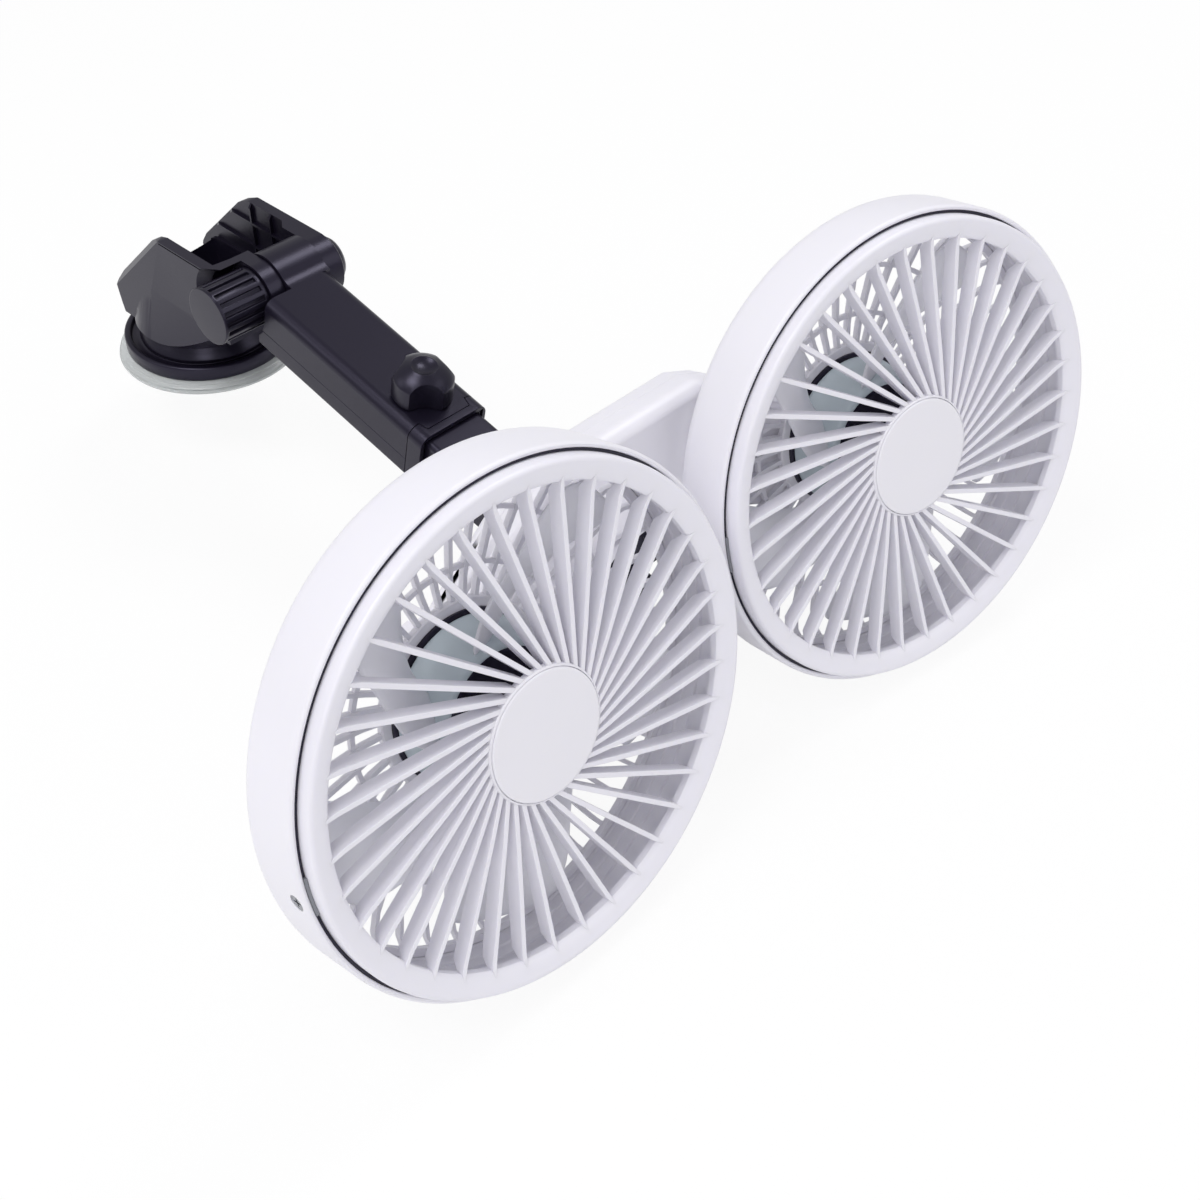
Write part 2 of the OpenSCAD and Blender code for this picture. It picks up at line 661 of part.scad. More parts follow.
module bridge_hollow() translate([0, -bridge_wall, 0]) rotate([90, 0, 0])
  linear_extrude(bridge_d - 2 * bridge_wall) mirrored(inner_upper, inner_lower);

module bridge_front() color(white) at_ball() difference() {
  intersection() {
    bridge_solid();
    translate([-far, split_y - gap / 2 - far, -far]) cube([2 * far, far, 2 * far]);
  }
  bridge_hollow();
  translate([0, 0, boss_top - 1]) cylinder(r = pod_r + gap, h = pod_top - boss_top + 1 + gap);
}

module bridge_rear() color(white) at_ball() difference() {
  union() {
    difference() {
      intersection() {
        bridge_solid();
        translate([-far, split_y, -far]) cube([2 * far, far, 2 * far]);
      }
      bridge_hollow();
    }
    // round pod that holds the ball's socket, and four posts for the board
    translate([0, 0, boss_top]) cylinder(r = pod_r, h = pod_top - boss_top);
    for (x = [4 - board_w / 2, board_w / 2 - 4]) for (z = [board_z[0] + 2.5, board_z[1] - 2.5])
      translate([x, 0.5 - bridge_wall, z]) rotate([90, 0, 0])
        cylinder(r = 1.6, h = -board_y - board_t - bridge_wall + 0.4, $fn = 24);
  }
  translate([0, 0, boss_top - 1])
    cylinder(r = socket_r + 0.1, h = socket_top - boss_top + 1.1);
  translate([0, 5, button_z]) rotate([90, 0, 0]) cylinder(r = button_r + gap, h = 12);
  translate([inlet_x - inlet_w / 2 - 0.2, split_y - 1, inlet_z - inlet_h / 2 - 0.2])
    cube([inlet_w + 0.4, 20, inlet_h + 0.4]);
}

module speed_button() color(white) at_ball() translate([0, 0, button_z]) rotate([-90, 0, 0])
  rotate_extrude() polygon([[0, -bridge_wall - 1.2], [button_r + 1.3, -bridge_wall - 1.2],
    [button_r + 1.3, -bridge_wall - gap], [button_r, -bridge_wall - gap], [button_r, 1],
    [button_r - 0.5, 1.5], [0, 1.5]]);

module power_inlet() color(grey) at_ball() translate([inlet_x, 0, inlet_z]) difference() {
  translate([-inlet_w / 2, split_y, -inlet_h / 2]) cube([inlet_w, gap - split_y, inlet_h]);
  translate([1.8 - inlet_w / 2, split_y + 2, 2.4 - inlet_h / 2])
    cube([inlet_w - 3.6, far, inlet_h - 4.8]);
}

module circuit_board() color("#2f6b46") at_ball()
  translate([-board_w / 2, board_y, board_z[0]])
    cube([board_w, board_t, board_z[1] - board_z[0]]);

// fan heads, with z forward and y up

module housing(side) color(white) at_head(side) difference() {
  rotate_extrude($fn = 128) polygon([[drum_r - 1.6, -0.3], [drum_r - 0.8, 0],
    [drum_r, -0.8], [drum_r, -drum_d + 4], [drum_r - 0.4, -drum_d + 1.8],
    [drum_r - 1.7, -drum_d + 0.4], [drum_r - 3.1, -drum_d], [rear_ring_r + gap, -drum_d],
    [rear_ring_r + gap, -drum_d + 2], [drum_in, -drum_d + 2.6], [drum_in, grille_shelf],
    [grille_r + gap, grille_shelf], [grille_r + gap, ring_shelf], [drum_r - 1.6, ring_shelf]]);
  rotate([0, 0, screw_angle]) translate([skirt_in - 5, 0, screw_f]) rotate([0, 90, 0])
    cylinder(r = 1.1, h = 20, $fn = 24);
  rotate([0, 0, screw_angle]) translate([drum_r - 1.5, 0, screw_f]) rotate([0, 90, 0])
    cylinder(r1 = 1.2, r2 = 2.9, h = 1.7, $fn = 32);
}

// side outline of one swirl rib, as (distance along the rib, height)
rib_in = sqrt(pow(hub_disc_r - 0.8, 2) - pow(rib_offset, 2));
rib_out = sqrt(pow(opening_r + 1, 2) - pow(rib_offset, 2));

module front_grille(side) color(white) at_head(side) difference() {
  union() {
    rotate_extrude($fn = 128) polygon([[opening_r, 1.7], [opening_r + 1, 2.5],
      [grille_r - 1, 4], [grille_r - 0.3, 3.7], [grille_r, 3], [grille_r, grille_shelf + 0.2],
      [skirt_in, grille_shelf + 0.2], [skirt_in, 0.2], [opening_r, -0.8]]);
    rotate_extrude() polygon([[0, 1], [hub_disc_r - 1, 1], [hub_disc_r, 1.6],
      [hub_disc_r, hub_top - 0.5], [hub_disc_r - 0.6, hub_top], [0, hub_top]]);
    for (i = [0 : rib_count - 1]) rotate([0, 0, 4 + 360 * i / rib_count])
      translate([0, -rib_offset + rib_t / 2, 0]) rotate([90, 0, 0]) linear_extrude(rib_t)
        polygon([[rib_in, -1.3], [rib_out - 3, -2.6], [rib_out, -0.6], [rib_out, 2],
          [rib_in, 3.4]]);
  }
  translate([0, 0, hub_top - 1]) cylinder(r = hub_cap_r + 0.1, h = 3);
  rotate([0, 0, screw_angle]) translate([skirt_in - 5, 0, screw_f]) rotate([0, 90, 0])
    cylinder(r = 1.02, h = 20, $fn = 24);
}

module hub_cap(side) color(white) at_head(side) translate([0, 0, hub_top - 1])
  rotate_extrude() polygon([[0, 0], [hub_cap_r, 0], [hub_cap_r, hub_cap_h - 0.3],
    [hub_cap_r - 0.6, hub_cap_h], [0, hub_cap_h]]);

module seam_ring(side) color(black) at_head(side) translate([0, 0, ring_shelf + 0.1])
  difference() {
    cylinder(r = drum_r - 1.65, h = 2.1, $fn = 128);
    translate([0, 0, -1]) cylinder(r = grille_r + 0.05, h = 5, $fn = 128);
    translate([0, 0, -1]) linear_extrude(5)
      sector(opening_r, drum_r + 5, latch_from - 0.2, latch_to + 0.2);
  }

module rim_latch(side) color(grey) at_head(side) translate([0, 0, ring_shelf + 0.1])
  linear_extrude(2.5) sector(grille_r + 0.06, drum_r - 1.66, latch_from, latch_to);

module rim_screw(side) color(steel) at_head(side) rotate([0, 0, screw_angle])
  translate([skirt_in, 0, screw_f]) rotate([0, 90, 0]) difference() {
    union() {
      cylinder(r = 1, h = drum_r - skirt_in - 0.4, $fn = 24);
      translate([0, 0, drum_r - skirt_in - 1.4]) cylinder(r1 = 1, r2 = 2.2, h = 1.1, $fn = 32);
    }
    for (a = [0, 90]) rotate([0, 0, a])
      translate([-1.3, -0.25, drum_r - skirt_in - 0.8]) cube([2.6, 0.5, 2]);
  }

// bowl of thin ribs behind the rotor, with the motor plate and the swivel lug
module rear_grille(side) color(white) at_head(side) difference() {
  union() {
    rotate_extrude($fn = 128) polygon([[rear_ring_r - 2.3, -drum_d + 2.2],
      [rear_ring_r, -drum_d + 2.2], [rear_ring_r, -drum_d + 0.4],
      [rear_ring_r - 0.8, -drum_d], [rear_ring_r - 2.3, -drum_d]]);
    for (i = [0 : rear_ribs - 1]) rotate([0, 0, 360 * i / rear_ribs]) rotate([90, 0, 0])
      translate([0, 0, -0.65]) linear_extrude(1.3) polygon([[back_plate_r - 2,
        plate_face - 0.4], [back_plate_r - 2, -bowl_back + 0.3],
        [back_plate_r + 6, -bowl_back + 0.3], [bowl_mid, -bowl_back + 2.4],
        [bowl_out, -bowl_back + 4.8], [rear_ring_r - 2.6, -bowl_back + 7.8],
        [rear_ring_r - 1.2, -drum_d + 0.3], [rear_ring_r - 1.2, -drum_d + 2],
        [rear_ring_r - 3.4, -bowl_back + 8.9], [bowl_out - 1, -bowl_back + 6.6],
        [bowl_mid - 1, -bowl_back + 4.3], [back_plate_r + 6, -bowl_back + 2.2]]);
    for (c = [[bowl_mid - 11, 0.7], [bowl_mid + 4, 3.1]])
      rotate_extrude($fn = 96) translate([c[0] - 0.7, -bowl_back + c[1] + 0.2])
        square([1.4, 1.6]);
    translate([0, 0, -bowl_back])
      cylinder(r = back_plate_r, h = plate_face + bowl_back, $fn = 96);
    translate([0, 0, plate_face - 1]) cylinder(r = motor_r + 2, h = 5.5);
    translate([-5.5, -lug_h / 2, -pivot_back]) cube([11, lug_h, pivot_back - bowl_back + 1]);
    translate([0, 0, -pivot_back]) rotate([90, 0, 0])
      cylinder(r = 6.2, h = lug_h, center = true);
  }
  translate([0, 0, plate_face]) cylinder(r = motor_r + 0.1, h = 10);
  translate([0, 0, -pivot_back]) rotate([90, 0, 0])
    cylinder(r = pin_r + fit, h = 40, center = true);
}

// cambered blade section, as (across the blade, height), seen along the blade
function camber(t) = rotor_front - 3.6 + 6 * t + 2.4 * (1 - t * t);
blade_upper = [for (i = [-8 : 8]) [blade_x * i / 8, camber(i / 8) + 0.65]];
blade_under = [for (i = [8 : -1 : -8]) [blade_x * i / 8, camber(i / 8) - 0.65]];

module blade() intersection() {
  rotate([90, 0, 90]) linear_extrude(blade_r + 5) polygon(concat(blade_upper, blade_under));
  translate([0, 0, -40]) linear_extrude(50) intersection() {
    circle(r = blade_r, $fn = 128);
    polygon([[rotor_hub_r - 13, -7], [rotor_hub_r + 1, -7.6], [blade_r - 26, -9.6],
      [blade_r - 15, -13], [blade_r - 7, -16], [blade_r - 2.5, -14.6], [blade_r, -10],
      [blade_r + 1, 0], [blade_r, 10], [blade_r - 2.5, 14.6], [blade_r - 7, 16],
      [blade_r - 15, 13], [blade_r - 26, 9.6], [rotor_hub_r + 1, 7.6],
      [rotor_hub_r - 13, 7]]);
  }
}

module rotor(side) color("#c9d3dd") at_head(side) difference() {
  union() {
    rotate_extrude($fn = 96) polygon([[0, rotor_front], [rotor_hub_r - 2.7, rotor_front],
      [rotor_hub_r - 1.5, rotor_front - 1.2], [rotor_hub_r, rotor_back], [0, rotor_back]]);
    for (i = [0 : blade_count - 1])
      rotate([0, 0, (side < 0 ? 51 : 56) + 360 * i / blade_count]) blade();
  }
  difference() {
    rotate_extrude($fn = 96) polygon([[0, rotor_front - 2.2],
      [rotor_hub_r - 3.5, rotor_front - 2.2], [rotor_hub_r - 1.8, rotor_back - 1],
      [0, rotor_back - 1]]);
    translate([0, 0, rotor_front - 3.4]) cylinder(r = 5, h = 3);
  }
  translate([0, 0, -40]) cylinder(r = shaft_r + 0.03, h = 40);
}

module motor(side) color(steel) at_head(side) difference() {
  translate([0, 0, plate_face + 0.05])
    cylinder(r = motor_r, h = rotor_front - 3.8 - plate_face);
  translate([0, 0, plate_face + 2]) cylinder(r = shaft_r + 0.06, h = 20);
}

module motor_shaft(side) color(steel) at_head(side) translate([0, 0, plate_face + 2.2])
  cylinder(r = shaft_r, h = rotor_front - 0.4 - plate_face - 2.2, $fn = 32);

module swivel_pin(side) color(steel) at_ball()
  translate([side * pivot_x, pivot_y, fork_low + 0.6])
    cylinder(r = pin_r, h = fork_top - fork_low - 2.4, $fn = 48);

suction_cup();
base_plate();
suction_stem();
swivel_housing();
hinge_knob();
hinge_bolt();
hinge_nut();
arm_upper_shell();
arm_lower_shell();
arm_end_cap();
arm_slider();
clamp_knob();
clamp_screw();
ball_stud();
ball_nut();
ball_socket();
bridge_front();
bridge_rear();
speed_button();
power_inlet();
circuit_board();
housing(-1);  // left_housing
front_grille(-1);  // left_front_grille
hub_cap(-1);  // left_hub_cap
seam_ring(-1);  // left_seam_ring
rim_latch(-1);  // left_rim_latch
rim_screw(-1);  // left_rim_screw
rear_grille(-1);  // left_rear_grille
rotor(-1);  // left_rotor
motor(-1);  // left_motor
motor_shaft(-1);  // left_motor_shaft
swivel_pin(-1);  // left_swivel_pin
housing(1);  // right_housing
front_grille(1);  // right_front_grille
hub_cap(1);  // right_hub_cap
seam_ring(1);  // right_seam_ring
rim_latch(1);  // right_rim_latch
rim_screw(1);  // right_rim_screw
rear_grille(1);  // right_rear_grille
rotor(1);  // right_rotor
motor(1);  // right_motor
motor_shaft(1);  // right_motor_shaft
swivel_pin(1);  // right_swivel_pin
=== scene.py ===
import bmesh
import bpy
import json
import math
from mathutils import Matrix, Vector


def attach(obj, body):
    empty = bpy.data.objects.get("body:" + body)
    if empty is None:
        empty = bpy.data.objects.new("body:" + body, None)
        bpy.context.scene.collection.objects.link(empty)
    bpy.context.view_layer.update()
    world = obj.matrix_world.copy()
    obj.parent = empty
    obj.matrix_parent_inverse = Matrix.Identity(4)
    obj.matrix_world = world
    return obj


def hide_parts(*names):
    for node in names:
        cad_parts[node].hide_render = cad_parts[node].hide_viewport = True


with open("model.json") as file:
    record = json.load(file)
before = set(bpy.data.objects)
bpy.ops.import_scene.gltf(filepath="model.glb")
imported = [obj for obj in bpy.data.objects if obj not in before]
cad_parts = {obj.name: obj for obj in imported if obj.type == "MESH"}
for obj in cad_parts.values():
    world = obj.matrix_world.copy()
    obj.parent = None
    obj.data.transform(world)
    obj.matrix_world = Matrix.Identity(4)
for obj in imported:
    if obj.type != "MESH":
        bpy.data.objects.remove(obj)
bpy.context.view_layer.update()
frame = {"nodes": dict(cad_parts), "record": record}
print("frame loaded")

# lengths in the dictionaries are millimetres and turns are degrees, unless a note says metres
mm = 0.001
upright = Matrix.Identity(4)

# place and clipping in metres
camera = {"lens": 50.0, "sensor": 36.0, "place": (-0.2728, -0.4645, 0.3477), "azimuth": 45.9,
          "down": 42.6, "nearest": 0.01, "farthest": 20.0}


def makeCamera(look):
    data = bpy.data.cameras.new("photoCamera")
    data.lens = look["lens"]
    data.sensor_width = look["sensor"]
    data.clip_start = look["nearest"]
    data.clip_end = look["farthest"]
    item = bpy.data.objects.new("photoCamera", data)
    bpy.context.scene.collection.objects.link(item)
    item.location = look["place"]
    item.rotation_euler = (math.radians(90 - look["down"]), 0, math.radians(-look["azimuth"]))
    bpy.context.scene.camera = item


makeCamera(camera)


# finishes: their colours are sRGB hex values, and this turns them to linear
def toLinear(hexColour):
    parts = [int(hexColour[i:i + 2], 16) / 255 for i in (1, 3, 5)]
    return [c / 12.92 if c <= 0.04045 else ((c + 0.055) / 1.055) ** 2.4 for c in parts] + [1.0]


def addNode(tree, kind, settings=None, links=None):
    node = tree.nodes.new(kind)
    for name, value in (settings or {}).items():
        if isinstance(name, int) or name in node.inputs:
            node.inputs[name].default_value = value
        else:
            setattr(node, name, value)
    for name, (source, output) in (links or {}).items():
        tree.links.new(source.outputs[output], node.inputs[name])
    return node


def startMaterial(name):
    material = bpy.data.materials.new(name)
    material.use_nodes = True
    material.node_tree.nodes.clear()
    return material, material.node_tree


# what all the moulded pieces share: tone changes every 56 mm or so, the grain stands at most
# 0.1 mm high, and the gloss wanders a little to either side of its own value
moulding = {"cloudWidth": 1000 / 18, "grainHeight": 0.1, "smoother": 0.04, "rougher": 0.05,
            "glowReach": (1.5, 1.5, 2.0), "sheen": 0.5, "tint": (1, 1, 1, 1)}


# moulded plastic: a faint cloudy tone, a fine grain left by the mould, and a slightly uneven gloss
def mouldedPlastic(name, look):
    material, tree = startMaterial(name)
    place = addNode(tree, "ShaderNodeTexCoord")
    cloud = addNode(tree, "ShaderNodeTexNoise",
                    {"Scale": 1 / (moulding["cloudWidth"] * mm), "Detail": 2.0},
                    {"Vector": (place, "Object")})
    tone = addNode(tree, "ShaderNodeMix", {"data_type": "RGBA", 6: toLinear(look["colour"]),
                                           7: toLinear(look["cloud"])}, {"Factor": (cloud, "Fac")})
    grain = addNode(tree, "ShaderNodeTexNoise",
                    {"Scale": 1 / (look["grainWidth"] * mm), "Detail": 3.0, "Roughness": 0.6},
                    {"Vector": (place, "Object")})
    gloss = addNode(tree, "ShaderNodeMapRange",
                    {"To Min": look["roughness"] - moulding["smoother"],
                     "To Max": look["roughness"] + moulding["rougher"]},
                    {"Value": (grain, "Fac")})
    bump = addNode(tree, "ShaderNodeBump",
                   {"Strength": look["grainDepth"], "Distance": moulding["grainHeight"] * mm},
                   {"Height": (grain, "Fac")})
    shader = addNode(tree, "ShaderNodeBsdfPrincipled",
                     {"IOR": look["ior"],
                      "Specular IOR Level": look.get("sheen", moulding["sheen"]),
                      "Specular Tint": look.get("tint", moulding["tint"]),
                      "Subsurface Weight": look.get("glow", 0.0),
                      "Subsurface Radius": [reach * mm for reach in moulding["glowReach"]],
                      "Subsurface Scale": 1.0,
                      "Transmission Weight": look.get("clear", 0.0)},
                     {"Roughness": (gloss, "Result"), "Normal": (bump, "Normal"),
                      "Base Color": (tone, 2)})
    addNode(tree, "ShaderNodeOutputMaterial", {}, {"Surface": (shader, "BSDF")})
    return material


steelLook = {"colour": "#96989d", "spotWidth": 1000 / 900, "bright": 0.22, "dull": 0.38}


# zinc-plated steel: a clean bright grey whose gloss is faintly spotted, as plating leaves it
def platedSteel(name, look):
    material, tree = startMaterial(name)
    place = addNode(tree, "ShaderNodeTexCoord")
    spots = addNode(tree, "ShaderNodeTexNoise",
                    {"Scale": 1 / (look["spotWidth"] * mm), "Detail": 2.0},
                    {"Vector": (place, "Object")})
    gloss = addNode(tree, "ShaderNodeMapRange", {"To Min": look["bright"], "To Max": look["dull"]},
                    {"Value": (spots, "Fac")})
    shader = addNode(tree, "ShaderNodeBsdfPrincipled",
                     {"Base Color": toLinear(look["colour"]), "Metallic": 1.0},
                     {"Roughness": (gloss, "Result")})
    addNode(tree, "ShaderNodeOutputMaterial", {}, {"Surface": (shader, "BSDF")})
    return material


# real mould grain is near 0.05 mm, too fine to show, so it is drawn 0.4 to 2 mm wide
plasticLooks = {
    # fine spark-eroded ABS: a quiet purplish black with a broad soft highlight
    "satinBlackAbs": {"colour": "#13101b", "cloud": "#171421", "grainWidth": 0.4,
                      "grainDepth": 0.12, "roughness": 0.29, "ior": 1.5, "sheen": 0.42,
                      "tint": (0.78, 0.74, 1, 1)},
    # smoother mould for the knobs: deeper black with clean glints
    "glossBlackAbs": {"colour": "#120f19", "cloud": "#15131e", "grainWidth": 0.5,
                      "grainDepth": 0.02, "roughness": 0.3, "ior": 1.5, "sheen": 0.46,
                      "tint": (0.78, 0.74, 1, 1)},
    # white ABS lets a little light in, which softens its shadows
    "smoothWhiteAbs": {"colour": "#ebe9f0", "cloud": "#e7e6ed", "grainWidth": 0.6,
                       "grainDepth": 0.05, "roughness": 0.36, "ior": 1.5, "glow": 0.1},
    # the grilles' white is a shade darker and glossier, so the vanes' edges catch the light
    "grilleWhiteAbs": {"colour": "#e9e7ef", "cloud": "#e5e4ec", "grainWidth": 0.6,
                       "grainDepth": 0.05, "roughness": 0.33, "ior": 1.5, "glow": 0.1},
    # the blades are nearly as white as the grilles, and their thin edges glow a little
    "paleBladeAbs": {"colour": "#eeeef3", "cloud": "#e9e9ef", "grainWidth": 0.8,
                     "grainDepth": 0.04, "roughness": 0.3, "ior": 1.5, "glow": 0.1},
    # the rotor's hub is a pale blue-grey that stands apart from the white round it
    "blueGreyBlade": {"colour": "#c3ced3", "cloud": "#bcc8ce", "grainWidth": 0.8,
                      "grainDepth": 0.04, "roughness": 0.3, "ior": 1.5},
    # mid grey, duller than the rest
    "greyAbs": {"colour": "#8a8c92", "cloud": "#808288", "grainWidth": 0.5,
                "grainDepth": 0.1, "roughness": 0.45, "ior": 1.5},
    # cast gel: milky clear, with a wet edge where its layers meet
    "clearGel": {"colour": "#eef1f1", "cloud": "#e2e6e6", "grainWidth": 2.0,
                 "grainDepth": 0.08, "roughness": 0.2, "ior": 1.42, "clear": 0.4},
    # solder lacquer over glass fibre: dark green with a slight shine
    "boardGreen": {"colour": "#1d5a34", "cloud": "#174a2a", "grainWidth": 1.0,
                   "grainDepth": 0.1, "roughness": 0.35, "ior": 1.5},
}
materials = {name: mouldedPlastic(name, look) for name, look in plasticLooks.items()}
materials["platedSteel"] = platedSteel("platedSteel", steelLook)
finishOf = {
    "gel": "clearGel", "black_plastic": "satinBlackAbs", "black_knob": "glossBlackAbs",
    "white_plastic": "smoothWhiteAbs", "grille_plastic": "grilleWhiteAbs",
    "blade_plastic": "blueGreyBlade", "grey_plastic": "greyAbs", "steel": "platedSteel",
    "board": "boardGreen",
}
slotOf = {part["node"]: part["material_slot"] for part in frame["record"]["subparts"]}
bodyOf = {node: body for body, nodes in frame["record"]["behaviour"]["bodies"].items()
          for node in nodes}
for node, slot in slotOf.items():
    frame["nodes"][node].data.materials.clear()
    frame["nodes"][node].data.materials.append(materials[finishOf[slot]])
print("materials made")

# places: each comes from a joint of the record
joints = {joint["name"]: joint for joint in frame["record"]["behaviour"]["joints"]}
sideways = Vector((1, 0, 0))


def placeAt(origin, xAxis, zAxis):
    z = Vector(zAxis).normalized()
    y = z.cross(Vector(xAxis)).normalized()
    x = y.cross(z)
    turn = Matrix((x, y, z)).transposed().to_4x4()
    return Matrix.Translation(Vector(origin)) @ turn


# on the hinge's axis, with z up through the arm and the arm running along minus y
hingePlace = placeAt(joints["arm_tilt"]["pos_m"], sideways, joints["clamp_knob_turn"]["axis"])


# in the middle of a head's front edge, with z forward and y up
def headPlace(side):
    spin = joints[side + "_rotor_spin"]
    up = Vector(joints["ball_nut_turn"]["axis"])
    return placeAt(spin["pos_m"], up.cross(Vector(spin["axis"])), spin["axis"])


# modelling helpers, from here down to refined
def clearSelection():
    if bpy.context.object and bpy.context.object.mode != "OBJECT":
        bpy.ops.object.mode_set(mode="OBJECT")
    bpy.ops.object.select_all(action="DESELECT")


def pick(piece):
    clearSelection()
    piece.select_set(True)
    bpy.context.view_layer.objects.active = piece


def applyPlace():
    bpy.ops.object.transform_apply(location=True, rotation=True, scale=True)


# picks faces in edit mode by a test of their centre and normal
def pickFaces(piece, test):
    bpy.ops.mesh.select_mode(type="FACE")
    bpy.ops.mesh.select_all(action="DESELECT")
    mesh = bmesh.from_edit_mesh(piece.data)
    for face in mesh.faces:
        face.select = bool(test(face.calc_center_median(), face.normal))
    mesh.select_flush_mode()
    bmesh.update_edit_mesh(piece.data)


# opens edit mode and picks points by a test of their place
def pickPoints(piece, test):
    pick(piece)
    bpy.ops.object.mode_set(mode="EDIT")
    bpy.ops.mesh.select_mode(type="VERT")
    bpy.ops.mesh.select_all(action="DESELECT")
    mesh = bmesh.from_edit_mesh(piece.data)
    for vertex in mesh.verts:
        vertex.select = bool(test(piece.matrix_world @ vertex.co))
    mesh.select_flush_mode()
    bmesh.update_edit_mesh(piece.data)


# closes doubled points, turns the faces outwards and leaves edit mode
def mended(piece, gap=0.01):
    if piece.mode != "EDIT":
        pick(piece)
        bpy.ops.object.mode_set(mode="EDIT")
    bpy.ops.mesh.select_all(action="SELECT")
    bpy.ops.mesh.remove_doubles(threshold=gap * mm)
    bpy.ops.mesh.normals_make_consistent(inside=False)
    bpy.ops.object.mode_set(mode="OBJECT")
    return piece


# a single point in edit mode, ready to be drawn out
def startPoint(name):
    clearSelection()
    bpy.ops.mesh.primitive_plane_add(size=mm, location=(0, 0, 0))
    piece = bpy.context.object
    piece.name = name
    bpy.ops.object.mode_set(mode="EDIT")
    bpy.ops.mesh.select_mode(type="VERT")
    bpy.ops.mesh.select_all(action="SELECT")
    bpy.ops.mesh.merge(type="CENTER")
    return piece


# a point drawn along a profile of (radius, height), then spun round the local z axis
def turned(name, profile, steps, sweep=360.0):
    piece = startPoint(name)
    bpy.ops.transform.translate(value=(profile[0][0] * mm, 0, profile[0][1] * mm))
    for (r0, z0), (r1, z1) in zip(profile, profile[1:]):
        bpy.ops.mesh.extrude_vertices_move(
            TRANSFORM_OT_translate={"value": ((r1 - r0) * mm, 0, (z1 - z0) * mm)})
    bpy.ops.mesh.select_all(action="SELECT")
    bpy.ops.mesh.remove_doubles(threshold=0.001 * mm)
    bpy.ops.mesh.spin(steps=steps, angle=math.radians(sweep), center=(0, 0, 0), axis=(0, 0, 1))
    return mended(piece)


# a bar drawn through stations of (x, y, z, width across y, height along z)
def drawnBar(name, stations):
    clearSelection()
    x, y, z, width, height = stations[0]
    bpy.ops.mesh.primitive_plane_add(size=mm, location=(x * mm, y * mm, z * mm),
                                     rotation=(0, math.pi / 2, 0))
    piece = bpy.context.object
    piece.name = name
    applyPlace()
    bpy.ops.object.mode_set(mode="EDIT")
    bpy.ops.mesh.select_all(action="SELECT")
    bpy.ops.transform.resize(value=(1, width, height),
                             center_override=(x * mm, y * mm, z * mm))
    for last, now in zip(stations, stations[1:]):
        step = [(b - a) * mm for a, b in zip(last[:3], now[:3])]
        bpy.ops.mesh.extrude_region_move(TRANSFORM_OT_translate={"value": step})
        bpy.ops.transform.resize(value=(1, now[3] / last[3], now[4] / last[4]),
                                 center_override=[v * mm for v in now[:3]])
    return mended(piece)


# adds one modifier with its settings and applies it
def modified(piece, name, kind, **settings):
    pick(piece)
    modifier = piece.modifiers.new(name, kind)
    for setting, value in settings.items():
        setattr(modifier, setting, value)
    bpy.ops.object.modifier_apply(modifier=name)
    return piece


def bevelled(piece, width, segments=2, angle=32.0):
    return modified(piece, "softEdges", "BEVEL", width=width * mm, segments=segments,
                    limit_method="ANGLE", angle_limit=math.radians(angle),
                    use_clamp_overlap=True)


# cuts a piece with another one, which is used up
def cutWith(piece, name, cutter):
    modified(piece, name, "BOOLEAN", operation="DIFFERENCE", solver="EXACT", object=cutter)
    bpy.data.objects.remove(cutter)


def smoothed(piece, angle):
    pick(piece)
    bpy.ops.object.shade_smooth_by_angle(angle=math.radians(angle))
    return piece


# large flat faces keep their own shading, so only the rounded edges catch the light
def flatShaded(piece):
    return modified(piece, "evenShading", "WEIGHTED_NORMAL", keep_sharp=True)


# copies of one piece, turned round the local z axis
def ringOf(piece, count, first=0.0):
    copies = [piece]
    piece.rotation_euler.z = math.radians(first)
    for i in range(1, count):
        copy = piece.copy()
        copy.data = piece.data.copy()
        bpy.context.scene.collection.objects.link(copy)
        copy.rotation_euler.z = math.radians(first + 360 * i / count)
        copies.append(copy)
    return copies


def joined(name, pieces):
    clearSelection()
    for piece in pieces:
        piece.select_set(True)
    bpy.context.view_layer.objects.active = pieces[0]
    if len(pieces) > 1:
        bpy.ops.object.join()
    pieces[0].name = name
    applyPlace()
    return pieces[0]


# moves a piece to its place in the frame and gives it its finish
def settled(piece, place, finish):
    pick(piece)
    piece.matrix_world = place
    applyPlace()
    piece.data.materials.clear()
    piece.data.materials.append(materials[finish])


# a piece that stands for its nodes: it takes the first one's finish and moves with its body
def fitted(piece, place, *nodes):
    slot = slotOf[nodes[0]]
    settled(piece, place, finishOf[slot])
    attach(piece, bodyOf[nodes[0]])
    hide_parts(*nodes)


# a further piece of a node: it moves with the node's body and may have a finish of its own
def added(piece, place, node, slot, finish=None):
    settled(piece, place, finish or finishOf[slot])
    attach(piece, bodyOf[node])


# how far apart points of the construction mesh are one point, and which bends count as flat
cleaning = {"gap": 0.004, "flat": 0.6, "smooth": 40.0}


